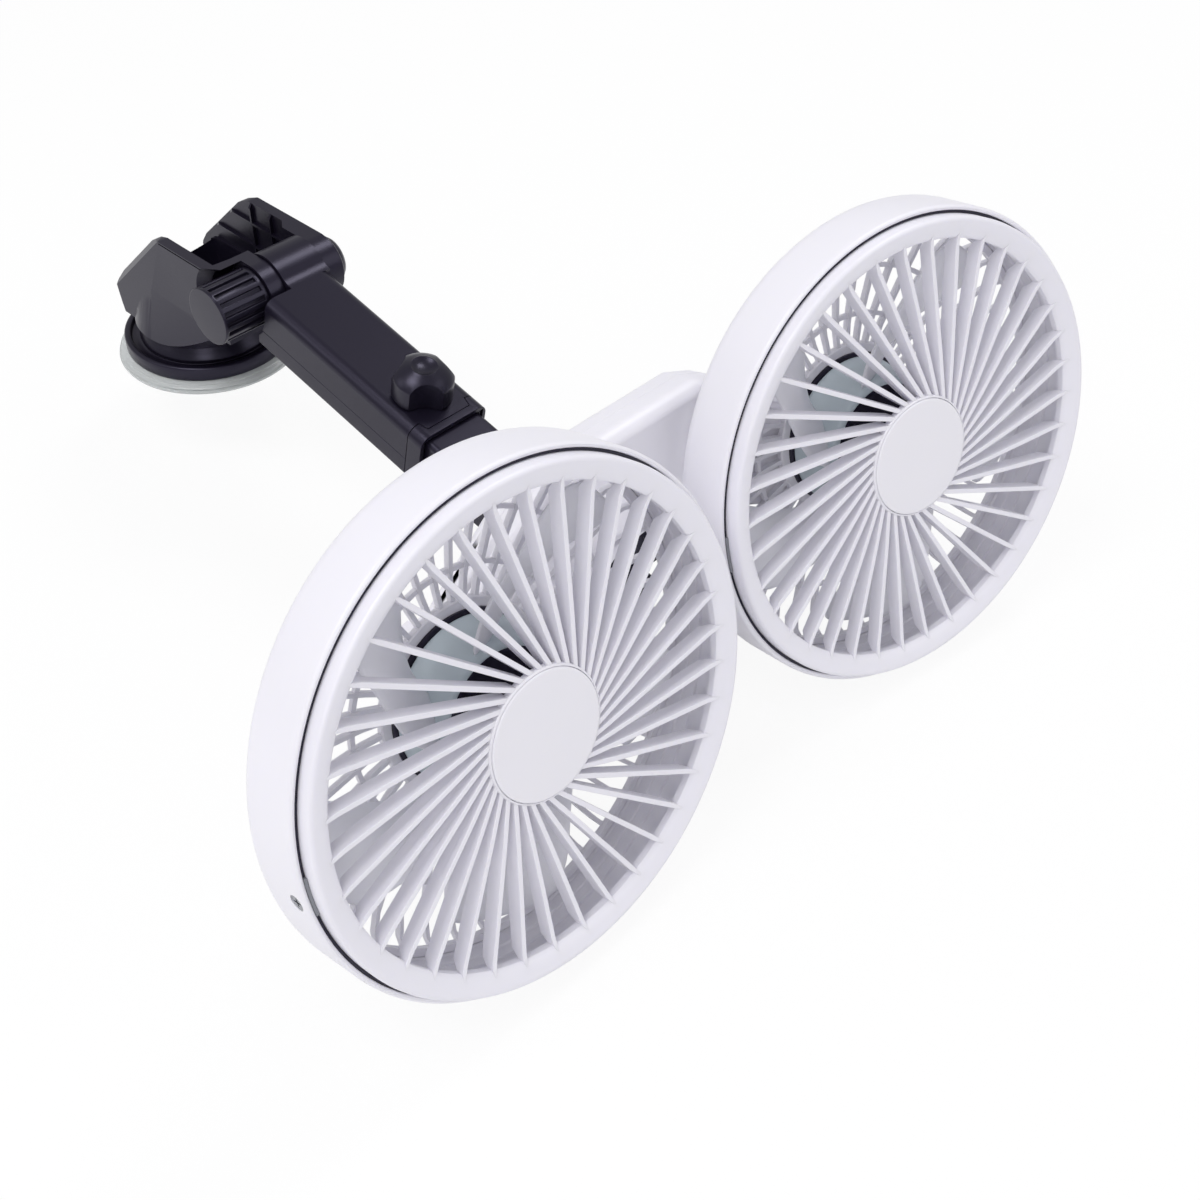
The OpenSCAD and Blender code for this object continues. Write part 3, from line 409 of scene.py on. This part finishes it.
# a copy of a construction node with merged faces and softened edges, and without the node's
# parent and own properties
def refined(node, name, width, prepare=None):
    clearSelection()
    source = frame["nodes"][node]
    piece = source.copy()
    piece.data = source.data.copy()
    piece.name = name
    for key in list(piece.keys()):
        del piece[key]
    piece.parent = None
    piece.matrix_world = source.matrix_world
    bpy.context.scene.collection.objects.link(piece)
    pick(piece)
    bpy.ops.object.mode_set(mode="EDIT")
    bpy.ops.mesh.select_all(action="SELECT")
    bpy.ops.mesh.remove_doubles(threshold=cleaning["gap"] * mm)
    bpy.ops.mesh.dissolve_limited(angle_limit=math.radians(cleaning["flat"]))
    bpy.ops.object.mode_set(mode="OBJECT")
    if prepare:
        prepare(piece)
    bevelled(piece, width)
    flatShaded(smoothed(piece, cleaning["smooth"]))
    fitted(piece, upright, node)


# clear cup with a layered rim; each rim point is its distance in from the edge and its height
gelCup = {
    "radius": 33.37, "steps": 128, "smooth": 50,
    "rim": [(0.8, 0), (0.2, 0.2), (0, 0.6), (0.1, 1.1), (0.7, 1.3), (1.0, 1.5), (0.8, 1.75),
            (0.4, 2.0), (0.6, 2.3), (1.6, 2.5), (1.9, 2.7), (1.8, 3.0), (2.6, 3.4), (3.4, 3.5)],
    "tabReach": 36.4, "tabRadius": 6.0, "tabThick": 1.3, "tabTurn": 27.0, "tabSteps": 48,
    "tabSoft": 0.35,
}


def makeSuctionCup(look):
    profile = [(look["radius"] - inwards, height) for inwards, height in look["rim"]]
    cup = turned("gelSuctionCup", [(0, 0)] + profile + [(0, profile[-1][1])], look["steps"])
    # the pull tab is a disc whose inner half is pushed under the rim
    clearSelection()
    bpy.ops.mesh.primitive_cylinder_add(
        vertices=look["tabSteps"], radius=look["tabRadius"] * mm, depth=look["tabThick"] * mm,
        location=(0, -look["tabReach"] * mm, look["tabThick"] * mm / 2))
    tab = bpy.context.object
    applyPlace()
    pickPoints(tab, lambda place: place.y > -look["tabReach"] * mm)
    bpy.ops.transform.translate(value=(0, look["tabRadius"] * mm, 0))
    bpy.ops.object.mode_set(mode="OBJECT")
    bevelled(tab, look["tabSoft"], 3)
    tab.rotation_euler.z = math.radians(look["tabTurn"])
    fitted(smoothed(joined("gelSuctionCup", [cup, tab]), look["smooth"]), upright, "suction_cup")


# black disc over the cup, with a groove round a flared neck
basePlate = {"radius": 30.3, "low": 3.5, "top": 9.0, "neck": 22.5, "neckTop": 14.0,
             "bore": 17.95, "stemHole": 4.3, "steps": 128, "soft": 0.12, "smooth": 50}


def makeBasePlate(look):
    r, n, b, h = look["radius"], look["neck"], look["bore"], look["stemHole"]
    low, z, t = look["low"], look["top"], look["neckTop"]
    plate = turned("baseDisc", [
        (h, low), (r - 0.9, low), (r - 0.25, low + 0.25), (r, low + 0.9), (r, z - 0.8),
        (r - 0.2, z - 0.3), (r - 0.7, z), (r - 1.9, z), (r - 2.3, z - 0.3), (r - 2.6, z - 1.9),
        (n + 2.0, z - 2.0), (n + 1.9, z - 1.5), (n + 2.2, z - 1.3), (n + 2.3, z - 0.8),
        (n + 2.1, z - 0.2), (n + 0.9, z + 1.6), (n - 0.5, z + 3.4), (n - 1.3, t - 0.3),
        (n - 1.6, t), (b + 0.3, t), (b, t - 0.3), (b, z), (h, z), (h, low)], look["steps"])
    fitted(smoothed(bevelled(plate, look["soft"], 1), look["smooth"]), upright, "base_plate")


# stiffening ribs inside the wings: their faces lie this far from the middle, their ends begin
# at these heights and depths, and are drawn back to stop short of the wings' edges
wingRibs = {"face": 15.8, "slack": 0.3, "lowest": 30.0, "topFrom": 53.0, "rearFrom": -13.0,
            "short": 1.8, "soft": 0.35}


def shortenRibs(piece):
    w = wingRibs
    for axis, start in ((2, w["topFrom"]), (1, w["rearFrom"])):
        pickPoints(piece, lambda place: abs(abs(place.x) - w["face"] * mm) < w["slack"] * mm
                   and place[axis] > start * mm and place.z > w["lowest"] * mm)
        move = [0.0, 0.0, 0.0]
        move[axis] = -w["short"] * mm
        bpy.ops.transform.translate(value=move)
        bpy.ops.object.mode_set(mode="OBJECT")


makeSuctionCup(gelCup)
makeBasePlate(basePlate)
refined("swivel_housing", "wingedHousing", wingRibs["soft"], prepare=shortenRibs)
print("suction base made")

# fluted friction knob beside the hinge: it starts at this x and runs outwards along minus x
hingeKnob = {"start": -9.0, "length": 18.7, "radius": 10.0, "plainInner": 1.5, "plainOuter": 1.3,
             "grooves": 18, "facesEach": 6, "grooveFaces": 3, "grooveDepth": 1.4,
             "endInset": 0.4, "endStep": 0.02, "soft": 0.22, "smooth": 50}


def makeHingeKnob(look):
    clearSelection()
    fluted = look["length"] - look["plainInner"] - look["plainOuter"]
    middle = look["start"] - look["plainInner"] - fluted / 2
    sides = look["grooves"] * look["facesEach"]
    bpy.ops.mesh.primitive_cylinder_add(vertices=sides, radius=look["radius"] * mm,
                                        depth=fluted * mm, rotation=(0, math.pi / 2, 0),
                                        location=(middle * mm, 0, 0))
    knob = bpy.context.object
    knob.name = "flutedHingeKnob"
    applyPlace()
    bpy.ops.object.mode_set(mode="EDIT")
    for direction, length in ((1, look["plainInner"]), (-1, look["plainOuter"])):
        pickFaces(knob, lambda place, normal: normal.x * direction > 0.9)
        bpy.ops.mesh.extrude_region_move(
            TRANSFORM_OT_translate={"value": (direction * length * mm, 0, 0)})
    # the outer end is still picked, and gets a narrow rim round its flat middle
    bpy.ops.mesh.inset(thickness=look["endInset"] * mm, depth=0)
    bpy.ops.transform.translate(value=(-look["endStep"] * mm, 0, 0))

    # only the long side faces have their centres near the middle of the fluted length
    def inGroove(place, normal):
        if abs(place.x - middle * mm) > 0.3 * fluted * mm or abs(normal.x) > 0.5:
            return False
        turn = math.degrees(math.atan2(place.z, place.y)) % 360
        return int(turn / 360 * sides) % look["facesEach"] < look["grooveFaces"]

    pickFaces(knob, inGroove)
    bpy.ops.mesh.extrude_region_shrink_fatten(
        TRANSFORM_OT_shrink_fatten={"value": -look["grooveDepth"] * mm})
    mended(knob, 0.001)
    fitted(smoothed(bevelled(knob, look["soft"]), look["smooth"]), hingePlace, "hinge_knob")


# lobed knob on the arm, with a dished top; round cutters take the scallops between its lobes
clampKnob = {"station": 73.6, "foot": 8.8, "height": 11.7, "radius": 10.0, "dish": 4.3,
             "lobes": 3, "scallopRadius": 10.7, "scallopPlace": 17.7, "firstTurn": -4.0,
             "steps": 120, "cutterSteps": 96, "soft": 0.35, "softFrom": 38, "smooth": 45}


def makeClampKnob(look):
    r, h, z, d = look["radius"], look["height"], look["foot"], look["dish"]
    knob = turned("lobedClampKnob", [
        (0, z), (r - 0.5, z), (r, z + 0.5), (r, z + 0.62 * h), (r - 0.3, z + 0.67 * h),
        (r - 1.1, z + 0.75 * h), (r - 2.3, z + 0.84 * h), (r - 3.8, z + 0.92 * h),
        (d + 0.7, z + 0.965 * h), (d + 0.3, z + 0.985 * h), (d, z + h), (d - 0.35, z + 0.985 * h),
        (0.75 * d, z + 0.94 * h), (0.4 * d, z + 0.9 * h), (0, z + 0.885 * h)], look["steps"])
    for i in range(look["lobes"]):
        turn = math.radians(look["firstTurn"] + 360 * i / look["lobes"])
        away = look["scallopPlace"] * mm
        clearSelection()
        bpy.ops.mesh.primitive_cylinder_add(
            vertices=look["cutterSteps"], radius=look["scallopRadius"] * mm, depth=4 * h * mm,
            location=(away * math.cos(turn), away * math.sin(turn), z * mm))
        cutWith(knob, "scallop", bpy.context.object)
    mended(knob)
    bevelled(knob, look["soft"], 3, look["softFrom"])
    place = hingePlace @ Matrix.Translation((0, -look["station"] * mm, 0))
    fitted(flatShaded(smoothed(knob, look["smooth"])), place, "clamp_knob")


# pieces taken over from the construction: their names here and how wide their edges round off
armPieces = {"arm_upper_shell": ("armUpperShell", 0.5), "arm_lower_shell": ("armLowerShell", 0.4),
             "arm_end_cap": ("armEndCap", 0.35), "arm_slider": ("armSlider", 0.6),
             "hinge_nut": ("hingeNutHolder", 0.15), "ball_nut": ("ballRingNut", 0.5)}
crossbarPieces = {"bridge_front": ("crossbarFront", 0.25), "bridge_rear": ("crossbarRear", 0.25),
                  "speed_button": ("speedButton", 0.3), "power_inlet": ("powerInlet", 0.3)}

makeHingeKnob(hingeKnob)
makeClampKnob(clampKnob)
for node, (name, width) in armPieces.items():
    refined(node, name, width)
print("hinge and arm made")
for node, (name, width) in crossbarPieces.items():
    refined(node, name, width)
print("crossbar made")

# the fan heads are modelled round their own axis, with z forward and y up; z 0 is the drum's lip
screwHole = {"turn": 182.0, "height": -4.1, "radius": 2.3, "floor": 71.7, "steps": 40}


# a round hole in the drum's side, with the countersunk screw at its bottom
def sinkScrew(shell):
    h = screwHole
    turn = math.radians(h["turn"])
    overshoot = 2.0
    length = drum["outer"] - h["floor"] + overshoot
    middle = (drum["outer"] + h["floor"] + overshoot) / 2
    clearSelection()
    bpy.ops.mesh.primitive_cylinder_add(
        vertices=h["steps"], radius=h["radius"] * mm, depth=length * mm,
        location=(middle * math.cos(turn) * mm, middle * math.sin(turn) * mm, h["height"] * mm),
        rotation=(0, math.pi / 2, turn))
    cutWith(shell, "screwHole", bpy.context.object)


# white ring round each head; lip, seat, groove and bore are the steps of its inner wall
drum = {"outer": 73.24, "lip": 71.7, "seat": 71.1, "seamFloor": -2.5, "shelf": -5.3,
        "inner": 69.0, "grooveTop": -9.2, "grooveLow": -13.4, "bore": 68.6, "rear": -19.4,
        "steps": 160, "smooth": 30}


def makeDrum(side, place):
    d = drum
    outer, lip, seat, inner, bore = d["outer"], d["lip"], d["seat"], d["inner"], d["bore"]
    rear, top, low = d["rear"], d["grooveTop"], d["grooveLow"]
    shell = turned(side + "DrumHousing", [
        (lip, -0.35), (lip + 0.25, -0.08), (lip + 0.8, 0.0), (outer - 0.35, -0.2),
        (outer - 0.08, -0.6), (outer, -1.2), (outer, rear + 4.2), (outer - 0.12, rear + 3.0),
        (outer - 0.5, rear + 1.8), (outer - 1.2, rear + 0.8), (outer - 2.1, rear + 0.2),
        (outer - 3.1, rear), (bore + 0.2, rear), (bore, rear + 0.3), (bore, rear + 2.0),
        (inner, rear + 2.6), (inner, low), (inner + 0.5, low + 0.4), (inner + 0.5, top - 0.4),
        (inner + 1.0, top), (inner + 1.0, d["shelf"]), (seat, d["shelf"]),
        (seat, d["seamFloor"]), (lip, d["seamFloor"]), (lip, -0.35)], d["steps"])
    sinkScrew(shell)
    fitted(smoothed(shell, d["smooth"]), place, side + "_housing")


# swirl grille: each vane is a straight bar that leaves the hub disc at a tangent, offset from
# the axis, and runs out as a point where it climbs the ring
grille = {"outer": 70.76, "opening": 64.2, "skirt": 68.2, "low": -5.1, "hub": 18.7,
          "vanes": 38, "offset": 11.2, "thick": 1.4, "firstTurn": 4.0, "vaneSoft": 0.22,
          "steps": 160, "hubSteps": 96, "smooth": 38}


def makeFrontGrille(side, place):
    g = grille
    outer, opening, skirt, low = g["outer"], g["opening"], g["skirt"], g["low"]
    disc, aside, t = g["hub"], -g["offset"], g["thick"]
    ring = turned(side + "GrilleRing", [
        (opening, 1.5), (opening + 0.3, 1.85), (opening + 1.2, 2.5), (opening + 3.2, 3.35),
        (opening + 5.0, 3.9), (outer - 0.9, 3.96), (outer - 0.4, 3.75), (outer - 0.1, 3.3),
        (outer, 2.8), (outer, low), (skirt, low), (skirt, 0.2), (opening + 0.4, -0.8),
        (opening, -0.5), (opening, 1.5)], g["steps"])
    hub = turned(side + "GrilleHub", [
        (0, 1.0), (disc - 1.0, 1.0), (disc - 0.2, 1.3), (disc, 1.8), (disc, 2.9),
        (disc - 0.1, 3.3), (disc - 0.35, 3.55), (disc - 0.6, 3.6), (disc - 0.66, 3.4),
        (disc - 0.66, 2.6), (0, 2.6)], g["hubSteps"])
    start = math.sqrt((disc - 0.8) ** 2 - aside ** 2)
    end = math.sqrt((opening + 1.0) ** 2 - aside ** 2)
    vane = drawnBar(side + "Vane", [
        (start, aside, 1.05, t, 4.4), (start + 14, aside, 0.75, t, 4.7),
        (end - 14, aside, 0.05, t, 4.7), (end - 3.6, aside, -0.2, t, 4.4),
        (end - 1.0, aside, 1.0, 0.8 * t, 2.6), (end + 2.6, aside, 2.75, 0.2, 0.9)])
    bevelled(vane, g["vaneSoft"], 1)
    cage = joined(side + "FrontGrille", [ring, hub] + ringOf(vane, g["vanes"], g["firstTurn"]))
    fitted(smoothed(cage, g["smooth"]), place, side + "_front_grille")


# slightly domed cap in the grille's hub disc
hubCap = {"radius": grille["hub"] - 0.8, "low": 2.65, "top": 3.98, "steps": 96, "smooth": 50}


def makeHubCap(side, place):
    r, low, top = hubCap["radius"], hubCap["low"], hubCap["top"]
    cap = turned(side + "HubCap", [
        (0, low), (r, low), (r, top - 0.48), (r - 0.1, top - 0.2), (r - 0.4, top - 0.08),
        (r - 1.0, top - 0.04), (0.5 * r, top - 0.01), (0, top)], hubCap["steps"])
    fitted(smoothed(cap, hubCap["smooth"]), place, side + "_hub_cap")


# thin black ring between grille and drum, open where the latch sits
seam = {"from": 184.8, "sweep": 350.6, "clear": 0.05, "low": -2.4, "top": -0.5, "steps": 160,
        "smooth": 30}


def makeSeamRing(side, place):
    inner, outer = grille["outer"] + seam["clear"], drum["lip"] - seam["clear"]
    low, top = seam["low"], seam["top"]
    ring = turned(side + "SeamRing", [
        (inner, low), (outer, low), (outer, top - 0.25), (outer - 0.15, top),
        (inner + 0.15, top), (inner, top - 0.25), (inner, low)], seam["steps"], seam["sweep"])
    # closes the ring's two open ends
    pick(ring)
    bpy.ops.object.mode_set(mode="EDIT")
    bpy.ops.mesh.select_all(action="DESELECT")
    bpy.ops.mesh.select_mode(type="EDGE")
    bpy.ops.mesh.select_non_manifold()
    bpy.ops.mesh.edge_face_add()
    mended(ring)
    ring.rotation_euler.z = math.radians(seamTurn(ring))
    applyPlace()
    fitted(smoothed(ring, seam["smooth"]), place, side + "_seam_ring")


# how far a seam ring has to turn until its open gap, opposite its middle, meets the latch
def seamTurn(ring):
    middle = sum((vertex.co for vertex in ring.data.vertices), Vector()) / len(ring.data.vertices)
    gapNow = math.degrees(math.atan2(-middle.y, -middle.x))
    gapWanted = seam["from"] - (360 - seam["sweep"]) / 2
    return gapWanted - gapNow


# rotor: hub shell on the motor's shaft, a black disc of painted shade on its nose, and swept
# blades
rotor = {"hub": 23.0, "nose": 18.1, "front": -12.0, "back": -26.4, "under": -15.2,
         "shaftHole": 1.65, "boss": 5.0, "bossEnd": -16.2, "blades": 5,
         "tipTurn": {"left": 39.0, "right": 44.0}, "middle": -16.2, "thick": 1.3,
         "camber": 0.3, "acrossParts": 10, "steps": 96, "shadeDiscSteps": 80, "smooth": 40}

# each station of a blade: distance from the axis, turn ahead of the tip, half width, half depth
bladeStations = [(19.6, 46.0, 6.6, 3.3), (26.0, 38.0, 8.0, 4.1), (30.0, 32.0, 8.8, 4.6),
                 (36.0, 23.0, 10.0, 5.0), (41.0, 16.0, 11.2, 5.3), (47.0, 10.5, 13.5, 5.5),
                 (53.0, 6.0, 15.5, 5.5), (58.0, 2.5, 15.8, 5.3), (60.2, 0.5, 13.5, 4.6),
                 (61.2, 0.0, 8.8, 3.2)]


def makeRotor(side, place):
    k = rotor
    r, n, f, b, hole = k["hub"], k["nose"], k["front"], k["back"], k["shaftHole"]
    hub = turned(side + "RotorHub", [
        (hole, f - 1.4), (n + 0.1, f - 1.4), (n + 0.1, f - 0.15), (n + 0.4, f),
        (n + 1.3, f - 0.25), (n + 1.9, f - 0.8), (n + 2.2, f - 1.5), (r - 0.1, b + 1.0),
        (r, b + 0.4), (r - 0.1, b), (r - 1.5, b), (n + 0.7, k["under"]),
        (k["boss"], k["under"]), (k["boss"], k["bossEnd"]), (hole, k["bossEnd"]),
        (hole, f - 1.4)], k["steps"])
    fitted(smoothed(hub, k["smooth"]), place, side + "_rotor")
    # black disc over the hub's front: painted shade, standing for the shadow that the grille's hub
    # disc casts on the rotor
    nose = turned(side + "RotorPaintedShadeDisc", [
        (0, f - 1.3), (n, f - 1.3), (n, f - 0.4), (n - 0.4, f - 0.05), (n - 1.2, f),
        (0.45 * n, f - 0.1), (0, f - 0.15)], k["shadeDiscSteps"])
    added(smoothed(nose, k["smooth"]), place, side + "_rotor", "black_plastic")
    blades = joined(side + "RotorBlades", ringOf(makeBlade(), k["blades"], k["tipTurn"][side]))
    added(smoothed(blades, k["smooth"]), place, side + "_rotor", "blade_plastic", "paleBladeAbs")


# one blade: a cambered line across its root is drawn outwards while it turns back and widens
def makeBlade():
    x, turn, half, depth = bladeStations[0]
    parts = rotor["acrossParts"]
    across = [-1 + 2 * i / parts for i in range(parts + 1)]
    rise = [rotor["middle"] + depth * t + rotor["camber"] * depth * (1 - t * t) for t in across]
    blade = startPoint("rotorBlade")
    bpy.ops.transform.translate(value=(x * mm, across[0] * half * mm, rise[0] * mm))
    for i in range(parts):
        bpy.ops.mesh.extrude_vertices_move(TRANSFORM_OT_translate={
            "value": (0, (across[i + 1] - across[i]) * half * mm, (rise[i + 1] - rise[i]) * mm)})
    bpy.ops.mesh.select_all(action="SELECT")
    turnBack(turn)
    for (x0, turn0, half0, deep0), (x1, turn1, half1, deep1) in zip(bladeStations,
                                                                  bladeStations[1:]):
        a0, a1 = math.radians(turn0), math.radians(turn1)
        step = (x1 - x0) * mm
        bpy.ops.mesh.extrude_edges_move(
            TRANSFORM_OT_translate={"value": (step * math.cos(a0), step * math.sin(a0), 0)})
        turnBack(turn1 - turn0)
        bpy.ops.transform.resize(
            value=(half1 / half0, half1 / half0, deep1 / deep0),
            center_override=(x1 * mm * math.cos(a1), x1 * mm * math.sin(a1), rotor["middle"] * mm))
    bpy.ops.object.mode_set(mode="OBJECT")
    modified(blade, "thickness", "SOLIDIFY", thickness=rotor["thick"] * mm, offset=0)
    mended(blade)
    return modified(blade, "rounded", "SUBSURF", levels=1, render_levels=1)


# turns the picked points round the local z axis; the operator counts the other way round
def turnBack(degrees):
    bpy.ops.transform.rotate(value=-math.radians(degrees), orient_axis="Z",
                             center_override=(0, 0, 0))


# bowl of thin slats behind the rotor, with two rings, a motor plate, the lug that the head swivels
# on, and a black ring of painted shadow round the hub's rear rim; each ring is its radius and its
# height over the plate's back
rearCage = {"hoop": 68.3, "plate": 27.0, "back": -30.0, "face": -27.6, "slats": 44,
            "slatWidth": 1.3, "rings": ((36.0, 1.7), (51.0, 4.1)), "ringHalf": 0.7,
            "cupOuter": 14.0, "cupInner": 12.1, "cupHeight": 4.5, "lugReach": -38.0,
            "lugWidth": 11.0, "lugHeight": 12.0, "lugSoft": 0.8, "eye": 6.2, "eyeHalf": 6.0,
            "pinHole": 2.56, "shadowRingInner": 22.2, "shadowRingOuter": 24.1, "shadowRingHeight": 0.95,
            "shadowRingSmooth": 40, "hoopSteps": 128, "plateSteps": 96, "eyeSteps": 64,
            "smooth": 38}


def makeRearGrille(side, place):
    c = rearCage
    r, b, f, p = c["hoop"], c["back"], c["face"], c["plate"]
    hoop = turned(side + "CageHoop", [
        (r - 2.3, -17.3), (r - 0.2, -17.2), (r, -17.5), (r, -18.9), (r - 0.3, -19.3),
        (r - 0.8, -19.4), (r - 2.2, -19.3), (r - 2.4, -18.9), (r - 2.3, -17.3)], c["hoopSteps"])
    cup, bore, rim = c["cupOuter"], c["cupInner"], f + c["cupHeight"]
    plate = turned(side + "CagePlate", [
        (0, b), (p - 0.4, b), (p, b + 0.4), (p, f - 0.4), (p - 0.4, f), (cup, f),
        (cup, rim - 0.3), (cup - 0.3, rim), (bore + 0.1, rim), (bore, rim - 0.2),
        (bore, f + 0.02), (0, f + 0.02)], c["plateSteps"])
    parts = [hoop, plate]
    h = c["ringHalf"]
    for radius, over in c["rings"]:
        z = b + over
        parts.append(turned(side + "CageRing", [
            (radius - h, z - h), (radius + h, z - h), (radius + h, z + h), (radius - h, z + h),
            (radius - h, z - h)], c["hoopSteps"]))
    w = c["slatWidth"]
    slat = drawnBar(side + "Slat", [
        (25.5, 0, b + 1.15, w, 1.7), (33.0, 0, b + 1.25, w, 1.9), (46.5, 0, b + 3.35, w, 1.9),
        (59.5, 0, b + 5.7, w, 1.9), (64.6, 0, b + 8.2, w, 2.1), (66.6, 0, b + 11.2, w, 2.6)])
    parts += ringOf(slat, c["slats"])
    clearSelection()
    bpy.ops.mesh.primitive_cube_add(
        size=1, location=(0, 0, (b + c["lugReach"]) / 2 * mm),
        scale=(c["lugWidth"] * mm, c["lugHeight"] * mm, (b - c["lugReach"] + 1) * mm))
    lug = bpy.context.object
    applyPlace()
    parts.append(bevelled(lug, c["lugSoft"]))
    e, long, pin = c["eye"], c["eyeHalf"], c["pinHole"]
    eye = turned(side + "LugEye", [
        (pin, -long), (e - 0.4, -long), (e, 0.4 - long), (e, long - 0.4), (e - 0.4, long),
        (pin, long), (pin, -long)], c["eyeSteps"])
    eye.matrix_world = Matrix.Translation((0, 0, c["lugReach"] * mm)) \
        @ Matrix.Rotation(math.pi / 2, 4, "X")
    parts.append(eye)
    cage = joined(side + "RearGrille", parts)
    fitted(smoothed(cage, c["smooth"]), place, side + "_rear_grille")
    # black ring on the motor plate, just outside the hub's rear rim: painted shadow in the gap
    # between the hub and the plate
    low, high, top = c["shadowRingInner"], c["shadowRingOuter"], f + c["shadowRingHeight"]
    shadowRing = turned(side + "PaintedShadowRing", [
        (low, f), (high, f), (high, top - 0.25), (high - 0.3, top), (low, top), (low, f)],
        c["plateSteps"])
    added(smoothed(shadowRing, c["shadowRingSmooth"]), place, side + "_rear_grille", "black_plastic")


for side in ("left", "right"):
    place = headPlace(side)
    makeDrum(side, place)
    makeFrontGrille(side, place)
    makeHubCap(side, place)
    makeSeamRing(side, place)
    makeRotor(side, place)
    makeRearGrille(side, place)
    print(side + " fan head made")

# floor in metres, under the heads' lowest point; the camera sees it almost as bright as the
# white room, while all other rays meet plain paper and keep the object's shadow
studio = {"floorDrop": 0.031, "floorSize": 6.0, "floorWhite": 0.9, "paper": (0.9, 0.9, 0.9, 1),
          "world": 0.5, "worldColour": (0.98, 0.98, 1, 1), "white": (1, 1, 1, 1)}


def makeStudio(look):
    clearSelection()
    bpy.ops.mesh.primitive_plane_add(size=look["floorSize"], location=(0, 0, -look["floorDrop"]))
    floor = bpy.context.object
    floor.name = "studioFloor"
    material, tree = startMaterial("paperFloor")
    paper = addNode(tree, "ShaderNodeBsdfDiffuse", {"Color": look["paper"]})
    glow = addNode(tree, "ShaderNodeEmission", {"Color": look["white"], "Strength": 1.0})
    path = addNode(tree, "ShaderNodeLightPath")
    share = addNode(tree, "ShaderNodeMath", {"operation": "MULTIPLY", 1: look["floorWhite"]},
                    {0: (path, "Is Camera Ray")})
    both = addNode(tree, "ShaderNodeMixShader", {},
                   {"Fac": (share, "Value"), 1: (paper, 0), 2: (glow, 0)})
    addNode(tree, "ShaderNodeOutputMaterial", {}, {"Surface": (both, "Shader")})
    floor.data.materials.append(material)

    world = bpy.data.worlds.new("paleRoom")
    bpy.context.scene.world = world
    world.use_nodes = True
    tree = world.node_tree
    tree.nodes.clear()
    light = addNode(tree, "ShaderNodeBackground",
                    {"Color": look["worldColour"], "Strength": look["world"]})
    seen = addNode(tree, "ShaderNodeBackground", {"Color": look["white"], "Strength": 1.0})
    path = addNode(tree, "ShaderNodeLightPath")
    both = addNode(tree, "ShaderNodeMixShader", {},
                   {"Fac": (path, "Is Camera Ray"), 1: (light, 0), 2: (seen, 0)})
    addNode(tree, "ShaderNodeOutputWorld", {}, {"Surface": (both, "Shader")})


# soft square lamps: metres and watts, all turned to the same point
lampAim = (0, -0.15, 0.03)
lamps = {
    "keyLamp": {"place": (-0.72, -0.1, 1.45), "size": 0.7, "power": 9.6},
    "fillLamp": {"place": (0.7, -1.3, 0.7), "size": 0.9, "power": 3.0},
    "topLamp": {"place": (0.75, -0.1, 1.2), "size": 0.45, "power": 4.2},
    "edgeLamp": {"place": (-0.95, 0.55, 0.8), "size": 0.5, "power": 1.0},
    "glintLamp": {"place": (-0.85, -0.8, 0.65), "size": 0.45, "power": 2.0},
}


def makeLamp(name, look):
    data = bpy.data.lights.new(name, "AREA")
    data.energy = look["power"]
    data.size = look["size"]
    item = bpy.data.objects.new(name, data)
    bpy.context.scene.collection.objects.link(item)
    item.location = look["place"]
    view = Vector(lampAim) - Vector(look["place"])
    item.rotation_euler = view.to_track_quat("-Z", "Y").to_euler()


makeStudio(studio)
for name, look in lamps.items():
    makeLamp(name, look)
bpy.context.scene.view_settings.view_transform = "Standard"
print("floor and lamps set")
